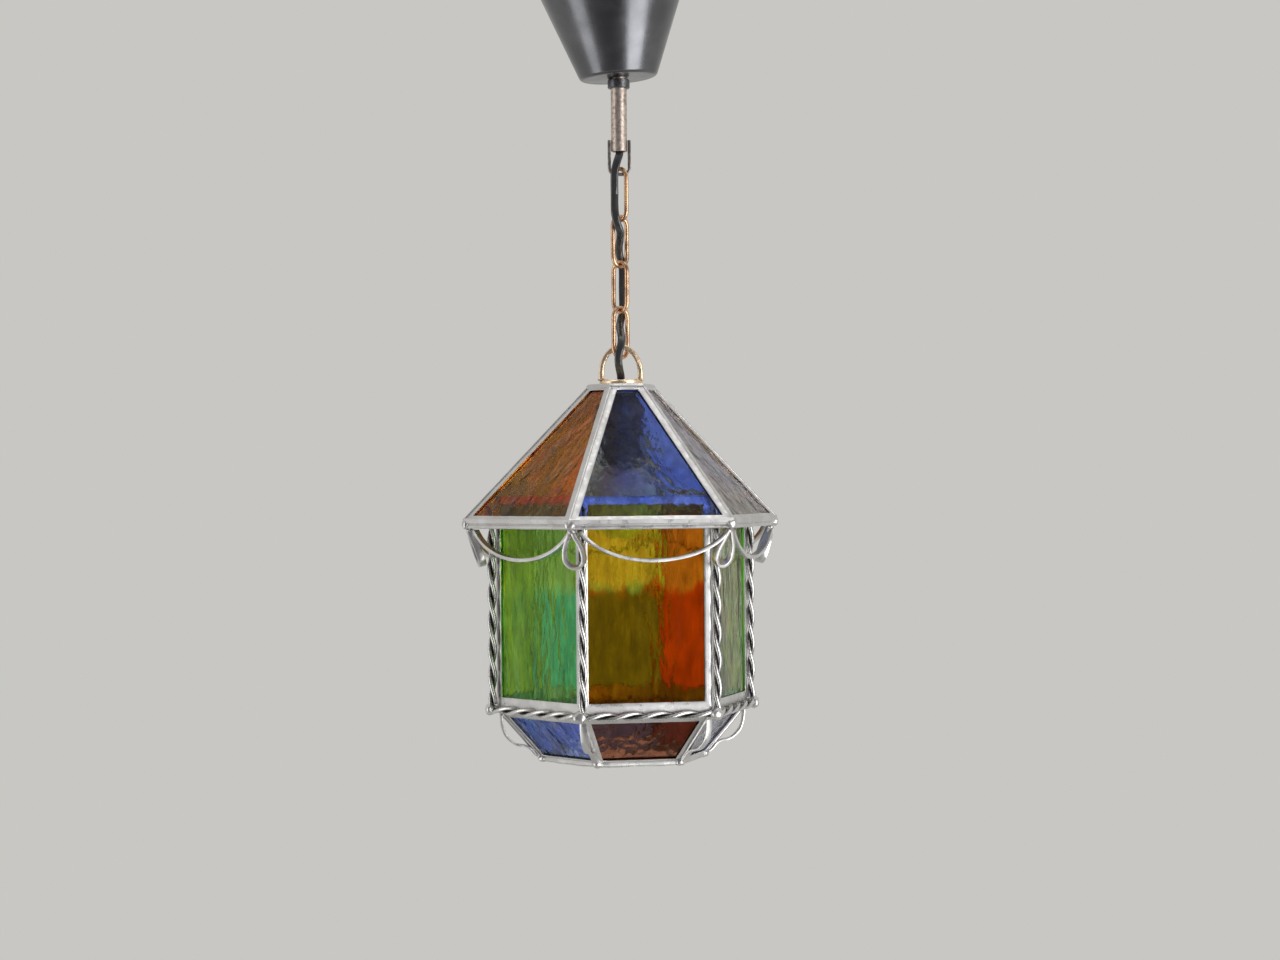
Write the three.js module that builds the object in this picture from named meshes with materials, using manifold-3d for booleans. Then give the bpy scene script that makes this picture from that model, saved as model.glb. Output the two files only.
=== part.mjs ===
// A six-sided leaded-glass lantern that hangs on a chain under a cone-shaped canopy.
// Millimetres, +Z up. The origin is where the hanger eye bears on the ceiling's hook.
// The lantern's flat front side faces -Y, and its corners stand at every 60 degrees from +X.
import * as THREE from "three";
import { mergeVertices } from "three/addons/utils/BufferGeometryUtils.js";
import Module from "manifold-3d";

// Clearances and shared values
const SEAT_GAP = 0.3; // between pieces that touch
const MERGE_MM = 1e-3;
const OUTLINE_MERGE_MM = 1e-2;
const CUT_MARGIN = 1; // how far a cutter reaches past the faces it cuts
const CANOPY_SEGMENTS = 36;
const ROUND_SEGMENTS = 32;
const HOLE_SEGMENTS = 24;
const SCREW_SEGMENTS = 12;
const SIDES = 6;
const SIDE_ANGLE = (2 * Math.PI) / SIDES;
const HALF_SIDE = SIDE_ANGLE / 2;
const APOTHEM = Math.cos(HALF_SIDE); // a side's distance from the axis, for a corner radius of 1

// Hanger inside the canopy
const HANGER_TURN = THREE.MathUtils.degToRad(-12.2);
const EYE_INNER_RADIUS = 9;
const EYE_STRIP = 2;
const EYE_WIDTH = 10;
const EYE_LEG_BOTTOM = -34; // underside of the eye's base
const EYE_HOLE_RADIUS = 5.3;
const HANGER_NUT_HEIGHT = 4;
const TUBE_PROUD = 1; // how far the tube stands over its nut
const NUT_FLATS = 14;
const BLOCK_SIZE = new THREE.Vector3(18, 13, 17);
const BLOCK_TOP = -24;

// Canopy and the collar that holds it
const CANOPY_RIM_RADIUS = 50;
const CANOPY_FLOOR_RADIUS = 24;
const CANOPY_HEIGHT = 67;
const CANOPY_WALL = 1;
const CANOPY_EDGE_RADIUS = 3;
const CANOPY_EDGE_STEPS = 4;
const CANOPY_HOLE_RADIUS = 5.7;
const CANOPY_FLOOR_Z = -49;
const CANOPY_LEAN = THREE.MathUtils.degToRad(4.2);
const COLLAR_RADIUS = 6.9;
const COLLAR_HEIGHT = 5.6;
const COLLAR_SCREW_RADIUS = 1.4;

// Lamp tube and stirrup
const TUBE_RADIUS = 5;
const TUBE_BORE_RADIUS = 4;
const TUBE_BOTTOM = -94.8;
const STIRRUP_TURN = THREE.MathUtils.degToRad(-8);
const STIRRUP_STRIP = 1.9;
const STIRRUP_WIDTH = 3.2;
const STIRRUP_ARM_TOP = -87.6;
const STIRRUP_CORNER_RADIUS = 3;
const STIRRUP_SEAT_Z = -108; // upper face of the stirrup's bottom

// Chain
const LINKS = 4;
const LINK_PITCH = 28.55;
const WIRE_RADIUS = 1.4;
const WIRE_SIDES = 8;
const BOW_STEPS = 7;
const LINK_BAR_OFFSET = 5.98; // from the link's middle to a bar's middle
const CHAIN_END_Z = STIRRUP_SEAT_Z - LINKS * LINK_PITCH; // the lantern hangs from here
const CHAIN_TURN = THREE.MathUtils.degToRad(-57.2);
const CHAIN_SWING = THREE.MathUtils.degToRad(12);

// Flat two-core cable
const CABLE_WIDTH = 4.9;
const CABLE_THICKNESS = 2.9;
const CABLE_TURN = HANGER_TURN;
const CABLE_STEPS = 76;

// Cap loop, cap plate, nipple and lampholder
const LOOP_TURN = THREE.MathUtils.degToRad(-8);
const LOOP_OUTER_RADIUS = 13.8;
const LOOP_STRIP = 3.2;
const LOOP_WIDTH = 3.4;
const LOOP_FOOT_HEIGHT = 4;
const CAP_RADIUS = 13.5;
const CAP_THICKNESS = 2.5;
const NIPPLE_RADIUS = 5;
const NIPPLE_BORE_RADIUS = 3.5;
const NIPPLE_PROUD = 0.6;
const NIPPLE_LENGTH = 19;
const NUT_HEIGHT = 4;
const HOLDER_RADIUS = 14;
const HOLDER_LENGTH = 43;
const HOLDER_RIBS = 7;
const HOLDER_RIB_DEPTH = 0.9;
const HOLDER_NECK = 12; // depth of the holder's upper socket
const HOLDER_FLOOR = 4;
const HOLDER_RIM = 2; // plain bands above and below the ribs
const HOLDER_SHOULDER = 8;
const HOLDER_TOP_WALL = 4;
const BULB_CAP_RADIUS = 7;
const BULB_NECK_ANGLE = THREE.MathUtils.degToRad(62); // where the ball turns into the neck
const BULB_RADIUS = 22.5;
const BULB_LENGTH = 73;
const BULB_STEPS = 10;

// Roof
const EAVE_RADIUS = 100;
const EAVE_LIP_SETBACK = 1.3;
const EAVE_LIP_RADIUS = EAVE_RADIUS - EAVE_LIP_SETBACK;
const ROOF_SETBACK = 0.3;
const ROOF_EAVE_RADIUS = EAVE_RADIUS - ROOF_SETBACK;
const ROOF_TOP_RADIUS = 20.6;
const ROOF_TOP_DROP = 19.9; // below the chain's end
const ROOF_TOP_Z = CHAIN_END_Z - ROOF_TOP_DROP;
const ROOF_HEIGHT = 82;
const ROOF_EAVE_Z = ROOF_TOP_Z - ROOF_HEIGHT;
const ROOF_PLATE_THICKNESS = 1.6;
const ROOF_CAME = 4.3;
const ROOF_TOP_CAME = 2.4;
const ROOF_EAVE_CAME = 3.2;
const EAVE_PROUD = 1.2;
const EAVE_TOP_Z = ROOF_EAVE_Z + EAVE_PROUD;
const EAVE_BAND = 3.5;
const EAVE_LIP = 2.5;
const EAVE_DEPTH = 6.5;

// Body
const EAVE_OVERHANG = 20.4;
const BODY_RADIUS = EAVE_RADIUS - EAVE_OVERHANG;
const BODY_HEIGHT = 117.1; // below the roof's lower edge
const BODY_BOTTOM_Z = ROOF_EAVE_Z - BODY_HEIGHT;
const BODY_CAME = 3.8;
const BODY_TOP_RAIL = 5;
const BODY_BOTTOM_RAIL = 7.5;

// Skirt
const SKIRT_SETBACK = 1;
const SKIRT_TOP_RADIUS = BODY_RADIUS - SKIRT_SETBACK;
const SKIRT_RIM_RADIUS = 52.3;
const SKIRT_HEIGHT = 30.2;
const SKIRT_RIM_Z = BODY_BOTTOM_Z - SKIRT_HEIGHT;
const SKIRT_CAME = 3.8;
const SKIRT_TOP_CAME = 4.8;
const SKIRT_RIM_CAME = 1.6;
const RIM_HEIGHT = 3.4;
const RIM_LIFT = 0.85; // the rim's top over the lower end of the skirt's frame
const RIM_DEPTH = 3.6;

// Leaded frames and glass
const FRAME_THICKNESS = 4;
const GLASS_THICKNESS = 2.4;
const GLASS_HOLD = 1.2; // how far a pane reaches behind its came

// Twisted wire
const STRAND = 2.9;
const TWIST_PITCH = 33;
const TWIST_SHIFT = 1.9; // along the next side, off the corner's edge
const STEPS_PER_TURN = 6;
const STRAND_REACH = [-75, 0, 75]; // degrees round one strand
const PAIR_WAIST = 0.35; // half the thickness where the strands meet, as a share of their radius
const RING_TURNS = 15;
const RING_LIFT = 0.2;
const RING_Z = BODY_BOTTOM_Z + RING_LIFT;

// Festoons, drop loops and scrolls
const RIBBON = 4.5;
const RIBBON_THICKNESS = 2.2;
const FESTOON_SAG = 17.5;
const FESTOON_STEPS = 12;
const FESTOON_CLEARANCE = 1; // from the neighbour's drop loop
const DROP_WIDTH = 14;
const DROP_LENGTH = 24;
const DROP_TILT = THREE.MathUtils.degToRad(19);
const DROP_TOP_HALF = 1.9;
const DROP_WAIST = 0.45; // where a side's bend is fullest, as a share of its height
const DROP_SPREAD = 0.35; // how quickly a side leaves the top, as a share of half the width
const SCROLL_WIDTH = 4.2;
const SCROLL_THICKNESS = 1.4;
const SCROLL_STEPS = 20;

const wasm = await Module();
wasm.setup();

const COLOURS = {
  canopy: { color: 0x15151a, roughness: 0.5, metalness: 0.4 },
  nickel: { color: 0xa89a92, roughness: 0.35, metalness: 1 },
  darkSteel: { color: 0x4b4a4c, roughness: 0.4, metalness: 1 },
  chain: { color: 0xa5836f, roughness: 0.35, metalness: 1 },
  brass: { color: 0xd9c79b, roughness: 0.35, metalness: 1 },
  solder: { color: 0xd4d2ce, roughness: 0.3, metalness: 1 },
  plastic: { color: 0x1b1a1a, roughness: 0.6, metalness: 0 },
  cable: { color: 0x0c0c0d, roughness: 0.3, metalness: 0 },
  amber: { color: 0xc98a10, roughness: 0.15, metalness: 0 },
  green: { color: 0x5f9a45, roughness: 0.15, metalness: 0 },
  blue: { color: 0x2f3f9c, roughness: 0.15, metalness: 0 },
  amethyst: { color: 0x5c3b33, roughness: 0.15, metalness: 0 },
  bulb: { color: 0xe8e4ea, roughness: 0.2, metalness: 0 },
};

// Solids and placing

function solid(geometry) {
  const bare = geometry.clone();
  bare.deleteAttribute("normal");
  bare.deleteAttribute("uv");
  const merged = mergeVertices(bare, MERGE_MM);
  const mesh = new wasm.Mesh({
    numProp: 3,
    vertProperties: merged.attributes.position.array,
    triVerts: new Uint32Array(merged.index.array),
  });
  return new wasm.Manifold(mesh);
}

function geometryOf(manifold) {
  const mesh = manifold.getMesh();
  const geometry = new THREE.BufferGeometry();
  geometry.setAttribute("position", new THREE.BufferAttribute(mesh.vertProperties, 3));
  geometry.setIndex(new THREE.BufferAttribute(mesh.triVerts, 1));
  const flat = geometry.toNonIndexed();
  flat.computeVertexNormals();
  return flat;
}

function place(geometry, { x = 0, y = 0, z = 0, turn = 0 }) {
  return geometry.clone().rotateZ(turn).translate(x, y, z);
}

function addPiece(parent, name, colour, geometry) {
  const mesh = new THREE.Mesh(geometry, new THREE.MeshStandardMaterial(COLOURS[colour]));
  mesh.name = name;
  parent.add(mesh);
  return mesh;
}

// An upright cylinder between two heights, with its flats or facets set by the segment count.
function column(radius, low, high, segments = HOLE_SEGMENTS) {
  const geometry = new THREE.CylinderGeometry(radius, radius, high - low, segments);
  return geometry.rotateX(Math.PI / 2).translate(0, 0, (low + high) / 2);
}

function turned(profile, segments) {
  const points = profile.map(([r, z]) => new THREE.Vector2(r, z));
  return new THREE.LatheGeometry(points, segments).rotateX(Math.PI / 2);
}

// A lathe profile written as [radius, height] pairs that closes on itself.
function turnedRing(profile, segments) {
  return turned([...profile, profile[0]], segments);
}

function washer(outer, inner, low, high, segments = ROUND_SEGMENTS) {
  const profile = [[inner, low], [outer, low], [outer, high], [inner, high]];
  return turnedRing(profile, segments);
}

function nut(flats, bore, low, high) {
  const outside = column(flats / 2 / APOTHEM, low, high, SIDES);
  const hole = column(bore, low - CUT_MARGIN, high + CUT_MARGIN);
  return geometryOf(solid(outside).subtract(solid(hole)));
}

// An outline's points without the doubles where an arc starts on the end of a line.
function withoutDoubles(points) {
  return points.filter((point, i) => (
    point.distanceTo(points[(i + 1) % points.length]) > OUTLINE_MERGE_MM
  ));
}

// A flat outline in (across, height), extruded along Y and centred on it.
function slab(shape, width, curveSegments = 8) {
  const outline = shape.extractPoints(curveSegments);
  const outer = withoutDoubles(outline.shape);
  if (THREE.ShapeUtils.isClockWise(outer)) outer.reverse();
  const clean = new THREE.Shape(outer);
  clean.holes = outline.holes.map((hole) => new THREE.Path(withoutDoubles(hole)));
  const geometry = new THREE.ExtrudeGeometry(clean, { depth: width, bevelEnabled: false });
  return geometry.translate(0, 0, -width / 2).rotateX(Math.PI / 2);
}

// Lofts rows of points: each row is one section, all with the same count, closed by end caps
// or, with closed set, joined from the last row back to the first.
function loft(rows, closed = false) {
  const count = rows[0].length;
  const points = rows.flat();
  const faces = [];
  const bands = closed ? rows.length : rows.length - 1;
  for (let i = 0; i < bands; i++) {
    const near = i * count;
    const far = ((i + 1) % rows.length) * count;
    for (let j = 0; j < count; j++) {
      const next = (j + 1) % count;
      faces.push(near + j, near + next, far + next);
      faces.push(near + j, far + next, far + j);
    }
  }
  if (!closed) {
    capEnd(points, faces, 0, count, true);
    capEnd(points, faces, (rows.length - 1) * count, count, false);
  }
  const geometry = new THREE.BufferGeometry().setFromPoints(points);
  geometry.setIndex(faces);
  geometry.computeVertexNormals();
  return geometry;
}

function capEnd(points, faces, start, count, isFirst) {
  const centre = new THREE.Vector3();
  for (let j = 0; j < count; j++) centre.addScaledVector(points[start + j], 1 / count);
  const hub = points.push(centre) - 1;
  for (let j = 0; j < count; j++) {
    const here = start + j;
    const next = start + ((j + 1) % count);
    if (isFirst) faces.push(hub, next, here);
    else faces.push(hub, here, next);
  }
}

// The outline of two touching wires, seen end on, as offsets from the pair's middle.
function pairSection(angle) {
  const r = STRAND / 2;
  const spread = (sign) => STRAND_REACH.map((degrees) => {
    const around = THREE.MathUtils.degToRad(degrees);
    return [sign * (r + r * Math.cos(around)), sign * r * Math.sin(around)];
  });
  const waist = r * PAIR_WAIST;
  const outline = [...spread(1), [0, waist], ...spread(-1), [0, -waist]];
  const cos = Math.cos(angle);
  const sin = Math.sin(angle);
  return outline.map(([a, b]) => [a * cos - b * sin, a * sin + b * cos]);
}

// Hexagonal frames

// A plain six-sided frustum with its corners at every 60 degrees from +X.
function hexFrustum(low, high) {
  const rise = high.z - low.z;
  const geometry = new THREE.CylinderGeometry(high.r, low.r, rise, SIDES, 1, false, HALF_SIDE);
  return geometry.rotateX(Math.PI / 2).translate(0, 0, (low.z + high.z) / 2);
}

// The front side of a frustum: its length up the slope, and the matrix that takes
// (across, up the slope, outward) to the part's frame.
function frontSide(low, high) {
  const rise = high.z - low.z;
  const run = (low.r - high.r) * APOTHEM;
  const length = Math.hypot(rise, run);
  const matrix = new THREE.Matrix4().makeBasis(
    new THREE.Vector3(1, 0, 0),
    new THREE.Vector3(0, run / length, rise / length),
    new THREE.Vector3(0, -rise / length, run / length),
  );
  matrix.setPosition(0, -low.r * APOTHEM, low.z);
  const halfAt = (s) => low.r / 2 + ((high.r - low.r) / 2) * (s / length);
  const inwardFor = (depth) => depth * (length / rise) / APOTHEM; // as a corner radius
  return { length, matrix, halfAt, inwardFor };
}

// A flat trapezoid on the front side, from depth "back" to depth "front" below the surface.
function sidePlate(side, { bottom, top, came, front, back }) {
  const shape = new THREE.Shape();
  shape.moveTo(-side.halfAt(bottom) + came, bottom);
  shape.lineTo(side.halfAt(bottom) - came, bottom);
  shape.lineTo(side.halfAt(top) - came, top);
  shape.lineTo(-side.halfAt(top) + came, top);
  shape.closePath();
  const plate = new THREE.ExtrudeGeometry(shape, { depth: back - front, bevelEnabled: false });
  return plate.translate(0, 0, -back).applyMatrix4(side.matrix);
}

// The hollow frame of one storey, and the pane that fits its front side.
function storey({ low, high, bottomCame, topCame, sideCame, rails = [] }) {
  const side = frontSide(low, high);
  const shift = side.inwardFor(FRAME_THICKNESS);
  const flare = CUT_MARGIN * ((high.r - low.r) / (high.z - low.z));
  const innerLow = { r: low.r - shift - flare, z: low.z - CUT_MARGIN };
  const innerHigh = { r: high.r - shift + flare, z: high.z + CUT_MARGIN };
  const hollow = solid(hexFrustum(innerLow, innerHigh));
  let shell = solid(hexFrustum(low, high)).subtract(hollow);
  for (const rail of rails) shell = shell.add(rail);
  const window = {
    bottom: bottomCame, top: side.length - topCame, came: sideCame,
    front: -FRAME_THICKNESS, back: FRAME_THICKNESS + CUT_MARGIN,
  };
  const glassFront = (FRAME_THICKNESS - GLASS_THICKNESS) / 2;
  const pane = {
    bottom: bottomCame - GLASS_HOLD, top: side.length - topCame + GLASS_HOLD,
    came: sideCame - GLASS_HOLD, front: glassFront, back: glassFront + GLASS_THICKNESS,
  };
  const slot = {
    bottom: pane.bottom - SEAT_GAP, top: pane.top + SEAT_GAP, came: pane.came - SEAT_GAP,
    front: pane.front - SEAT_GAP, back: pane.back + SEAT_GAP,
  };
  for (let i = 0; i < SIDES; i++) {
    for (const cut of [window, slot]) {
      shell = shell.subtract(solid(place(sidePlate(side, cut), { turn: i * SIDE_ANGLE })));
    }
  }
  return { shell, pane: sidePlate(side, pane) };
}

function hexRing(outer, inner, low, high) {
  const outside = hexFrustum({ r: outer, z: low }, { r: outer, z: high });
  const inside = hexFrustum({ r: inner, z: low - CUT_MARGIN }, { r: inner, z: high + CUT_MARGIN });
  return solid(outside).subtract(solid(inside));
}

// Hanger, canopy and tube

function hangerEye() {
  const outer = EYE_INNER_RADIUS + EYE_STRIP;
  const shape = new THREE.Shape();
  shape.moveTo(outer, EYE_LEG_BOTTOM);
  shape.lineTo(outer, -EYE_INNER_RADIUS);
  shape.absarc(0, -EYE_INNER_RADIUS, outer, 0, Math.PI, false);
  shape.lineTo(-outer, EYE_LEG_BOTTOM);
  shape.closePath();
  const inside = new THREE.Path();
  inside.moveTo(-EYE_INNER_RADIUS, EYE_LEG_BOTTOM + EYE_STRIP);
  inside.lineTo(-EYE_INNER_RADIUS, -EYE_INNER_RADIUS);
  inside.absarc(0, -EYE_INNER_RADIUS, EYE_INNER_RADIUS, Math.PI, 0, true);
  inside.lineTo(EYE_INNER_RADIUS, EYE_LEG_BOTTOM + EYE_STRIP);
  shape.holes.push(inside);
  const baseTop = EYE_LEG_BOTTOM + EYE_STRIP;
  const hole = column(EYE_HOLE_RADIUS, EYE_LEG_BOTTOM - CUT_MARGIN, baseTop + CUT_MARGIN);
  return geometryOf(solid(slab(shape, EYE_WIDTH)).subtract(solid(hole)));
}

const HANGER_NUT_LOW = EYE_LEG_BOTTOM + EYE_STRIP + SEAT_GAP;
const TUBE_TOP = HANGER_NUT_LOW + HANGER_NUT_HEIGHT + TUBE_PROUD;

function tubeGeometry() {
  return washer(TUBE_RADIUS, TUBE_BORE_RADIUS, TUBE_BOTTOM, TUBE_TOP);
}

function terminalBlock() {
  const { x, y, z } = BLOCK_SIZE;
  const back = NUT_FLATS / 2 / APOTHEM + SEAT_GAP + y / 2;
  return new THREE.BoxGeometry(x, y, z).translate(0, back, BLOCK_TOP - z / 2);
}

// The canopy upright, with its floor's underside at height 0.
function canopyGeometry() {
  const lean = Math.atan2(CANOPY_RIM_RADIUS - CANOPY_FLOOR_RADIUS, CANOPY_HEIGHT);
  const sideWall = CANOPY_WALL / Math.cos(lean);
  const turnAngle = Math.PI / 2 - lean;
  const setback = CANOPY_EDGE_RADIUS * Math.tan(turnAngle / 2);
  const arcCentre = [CANOPY_FLOOR_RADIUS - setback, CANOPY_EDGE_RADIUS];
  const edge = (radius, steps) => Array.from({ length: steps + 1 }, (_, i) => {
    const at = -Math.PI / 2 + (turnAngle * i) / steps;
    return [arcCentre[0] + radius * Math.cos(at), arcCentre[1] + radius * Math.sin(at)];
  });
  const profile = [
    [CANOPY_HOLE_RADIUS, 0],
    ...edge(CANOPY_EDGE_RADIUS, CANOPY_EDGE_STEPS),
    [CANOPY_RIM_RADIUS, CANOPY_HEIGHT],
    [CANOPY_RIM_RADIUS - sideWall, CANOPY_HEIGHT],
    ...edge(CANOPY_EDGE_RADIUS - CANOPY_WALL, CANOPY_EDGE_STEPS / 2).reverse(),
    [CANOPY_HOLE_RADIUS, CANOPY_WALL],
  ];
  return turnedRing(profile, CANOPY_SEGMENTS);
}

// The collar's top stands low enough for the canopy to lean on it.
const COLLAR_TOP = CANOPY_FLOOR_Z - SEAT_GAP - COLLAR_RADIUS * Math.sin(CANOPY_LEAN);

function collarGeometry() {
  const bottom = COLLAR_TOP - COLLAR_HEIGHT;
  const ring = washer(COLLAR_RADIUS, TUBE_RADIUS + SEAT_GAP, bottom, COLLAR_TOP);
  const drill = COLLAR_SCREW_RADIUS + SEAT_GAP;
  const hole = new THREE.CylinderGeometry(drill, drill, COLLAR_RADIUS * 2, SCREW_SEGMENTS);
  hole.translate(0, COLLAR_RADIUS, (bottom + COLLAR_TOP) / 2);
  return geometryOf(solid(ring).subtract(solid(hole)));
}

function collarScrew() {
  const inner = TUBE_RADIUS + SEAT_GAP;
  const length = COLLAR_RADIUS - inner + SEAT_GAP;
  const r = COLLAR_SCREW_RADIUS;
  const screw = new THREE.CylinderGeometry(r, r, length, SCREW_SEGMENTS);
  return screw.translate(0, inner + length / 2, COLLAR_TOP - COLLAR_HEIGHT / 2);
}

// A U of flat strip whose inner corners are rounded.
function stirrupGeometry() {
  const inner = TUBE_RADIUS + SEAT_GAP;
  const outer = inner + STIRRUP_STRIP;
  const floor = STIRRUP_SEAT_Z - STIRRUP_STRIP;
  const bend = STIRRUP_CORNER_RADIUS + STIRRUP_STRIP;
  const shape = new THREE.Shape();
  shape.moveTo(outer, STIRRUP_ARM_TOP);
  shape.lineTo(inner, STIRRUP_ARM_TOP);
  shape.lineTo(inner, STIRRUP_SEAT_Z + STIRRUP_CORNER_RADIUS);
  const innerX = inner - STIRRUP_CORNER_RADIUS;
  const bendZ = STIRRUP_SEAT_Z + STIRRUP_CORNER_RADIUS;
  shape.absarc(innerX, bendZ, STIRRUP_CORNER_RADIUS, 0, -Math.PI / 2, true);
  shape.lineTo(-innerX, STIRRUP_SEAT_Z);
  shape.absarc(-innerX, bendZ, STIRRUP_CORNER_RADIUS, -Math.PI / 2, -Math.PI, true);
  shape.lineTo(-inner, STIRRUP_ARM_TOP);
  shape.lineTo(-outer, STIRRUP_ARM_TOP);
  shape.lineTo(-outer, floor + bend);
  shape.absarc(-innerX, bendZ, bend, Math.PI, (3 * Math.PI) / 2, false);
  shape.lineTo(innerX, floor);
  shape.absarc(innerX, bendZ, bend, (3 * Math.PI) / 2, 2 * Math.PI, false);
  shape.closePath();
  return slab(shape, STIRRUP_WIDTH, 4);
}

// Chain

const WIRE_SHARE = 0.45; // the part of the wire's own thickness that meets a strip's edge first

// How much further a bow stands from a strip's flat than from a wire: the strip's edges meet
// the bow away from its middle, and swing towards it. An arched strip also falls away there.
function bowLift(stripWidth, crossing, archRadius = Infinity) {
  const innerRadius = LINK_BAR_OFFSET - WIRE_RADIUS;
  const edge = stripWidth / 2 + WIRE_SHARE * WIRE_RADIUS * Math.cos(crossing);
  const reach = edge / Math.sin(crossing);
  const drop = innerRadius - Math.sqrt(innerRadius ** 2 - reach ** 2);
  const arch = (reach * Math.cos(crossing)) ** 2 / (2 * archRadius);
  return SEAT_GAP + drop + arch + (stripWidth / 2) * Math.sin(CHAIN_SWING);
}

const LINK_LIFT = bowLift(STIRRUP_WIDTH, STIRRUP_TURN - CHAIN_TURN);
// The loop's crown is a steep ellipse, so it stands three gaps higher still.
const LOOP_LIFT = 3 * SEAT_GAP + bowLift(
  LOOP_WIDTH, CHAIN_TURN + Math.PI / 2 - LOOP_TURN, LOOP_OUTER_RADIUS - LOOP_STRIP);

// Where link k's lower wire bears on the next piece. Contact 0 is the stirrup's seat.
const contactZ = (k) => STIRRUP_SEAT_Z - LINK_PITCH * k;

function linkHeights(k) {
  const lift = k === 1 ? LINK_LIFT : SEAT_GAP / 2;
  const top = contactZ(k - 1) + WIRE_RADIUS + lift;
  const bottom = contactZ(k) - WIRE_RADIUS - SEAT_GAP / 2;
  return { top, bottom };
}

function linkGeometry(k) {
  const { top, bottom } = linkHeights(k);
  const r = LINK_BAR_OFFSET;
  const rows = [];
  const bow = (centreZ, start) => {
    for (let i = 0; i <= BOW_STEPS; i++) {
      const at = start + (Math.PI * i) / BOW_STEPS;
      rows.push({ x: r * Math.cos(at), z: centreZ + r * Math.sin(at), at });
    }
  };
  bow(top - r, 0);
  bow(bottom + r, Math.PI);
  const sections = rows.map(({ x, z, at }) => Array.from({ length: WIRE_SIDES }, (_, j) => {
    const around = (2 * Math.PI * (j + 0.5)) / WIRE_SIDES;
    const out = WIRE_RADIUS * Math.cos(around);
    return new THREE.Vector3(
      x + out * Math.cos(at), WIRE_RADIUS * Math.sin(around), z + out * Math.sin(at));
  }));
  return loft(sections, true);
}

// Cable

// The cable's middle line, in the frame turned to CABLE_TURN. It rises out of the tube to the
// terminal block, and below the tube it runs in front of link 1, through link 2, behind the
// third, back through link 4, and over the cap loop into the nipple. Heights below the stirrup's
// seat are for links of the ROUTE_PITCH and follow the chain when its pitch differs.
const ROUTE_PITCH = 28.55;
const CABLE_POINTS = [
  [0, 14.8, -23.6], [0, 14.4, -20.2], [0, 11.6, -17], [0, 7.4, -15.8], [0, 3.2, -17.3],
  [0, 0.5, -21.3], [0, 0, -27], [0, 0, -45], [0, 0, -66], [0, 0, -84], [0.1, -0.1, -91],
  [0.2, -1.2, -96], [-1.4, -3.8, -101.5], [-2.8, -5.0, -107.5], [-3.1, -5.0, -114],
  [-3.0, -5.0, -122], [-3.0, -6.6, -129], [-2.7, -8.3, -134.5], [-1.6, -7.8, -140],
  [0.2, -5.0, -145], [0.1, -1.1, -149.5], [-0.6, 2.4, -154], [-0.4, 5.2, -158.5],
  [0.9, 6.8, -163.5], [1.5, 7.0, -169], [1.4, 6.0, -179], [1.5, 6.9, -188],
  [1.5, 7.3, -194], [0.2, 6.3, -199.5], [-0.5, 3.6, -204], [0.1, 0, -208],
  [0.6, -3.4, -212], [0.1, -6.0, -216.5], [-1.2, -7.1, -221.5], [-1.4, -6.4, -226.5],
  [-0.8, -3.6, -231], [-0.1, -0.9, -234.8], [0, 0, -239],
  [0, 0, -247], [0, 0, -257.8],
];

function routeZ(z) {
  const along = THREE.MathUtils.clamp((STIRRUP_SEAT_Z - z) / ROUTE_PITCH, 0, LINKS);
  return z - along * (LINK_PITCH - ROUTE_PITCH);
}

function cableGeometry() {
  const points = CABLE_POINTS.map(([x, y, z]) => new THREE.Vector3(x, y, routeZ(z)));
  const curve = new THREE.CatmullRomCurve3(points, false, "centripetal");
  const shape = new THREE.Shape();
  const r = CABLE_THICKNESS / 2;
  const offset = CABLE_WIDTH / 2 - r;
  const outline = [];
  for (const start of [-Math.PI / 2, Math.PI / 2]) {
    const sign = start < 0 ? 1 : -1;
    for (let i = 0; i <= 3; i++) {
      const at = start + (Math.PI * i) / 3;
      outline.push(new THREE.Vector2(sign * offset + r * Math.cos(at), r * Math.sin(at)));
    }
  }
  shape.setFromPoints(outline);
  return new THREE.ExtrudeGeometry(shape, {
    steps: CABLE_STEPS, extrudePath: curve, bevelEnabled: false,
  });
}

// Cap, nipple and lampholder

const LOOP_SEAT_Z = contactZ(LINKS) + LOOP_LIFT - SEAT_GAP / 2; // underside of its crown
const CAP_TOP = ROOF_TOP_Z + ROOF_PLATE_THICKNESS + SEAT_GAP + CAP_THICKNESS;
const LOOP_FOOT_Z = CAP_TOP + SEAT_GAP;

// A half ring on two short straight feet.
function capLoopGeometry() {
  const inner = LOOP_OUTER_RADIUS - LOOP_STRIP;
  const crown = LOOP_SEAT_Z;
  const springZ = LOOP_FOOT_Z + LOOP_FOOT_HEIGHT;
  const rise = crown - springZ;
  const shape = new THREE.Shape();
  shape.moveTo(LOOP_OUTER_RADIUS, LOOP_FOOT_Z);
  shape.lineTo(LOOP_OUTER_RADIUS, springZ);
  shape.absellipse(0, springZ, LOOP_OUTER_RADIUS, rise + LOOP_STRIP, 0, Math.PI, false);
  shape.lineTo(-LOOP_OUTER_RADIUS, LOOP_FOOT_Z);
  shape.lineTo(-inner, LOOP_FOOT_Z);
  shape.lineTo(-inner, springZ);
  shape.absellipse(0, springZ, inner, rise, Math.PI, 0, true);
  shape.lineTo(inner, LOOP_FOOT_Z);
  shape.closePath();
  return slab(shape, LOOP_WIDTH, 14);
}

function capPlateGeometry() {
  return washer(CAP_RADIUS, NIPPLE_RADIUS + SEAT_GAP, CAP_TOP - CAP_THICKNESS, CAP_TOP);
}

const NIPPLE_TOP = CAP_TOP + NIPPLE_PROUD;
const NUT_TOP = ROOF_TOP_Z - ROOF_PLATE_THICKNESS / 2 - SEAT_GAP;
const HOLDER_TOP = NUT_TOP - NUT_HEIGHT - SEAT_GAP;

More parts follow.
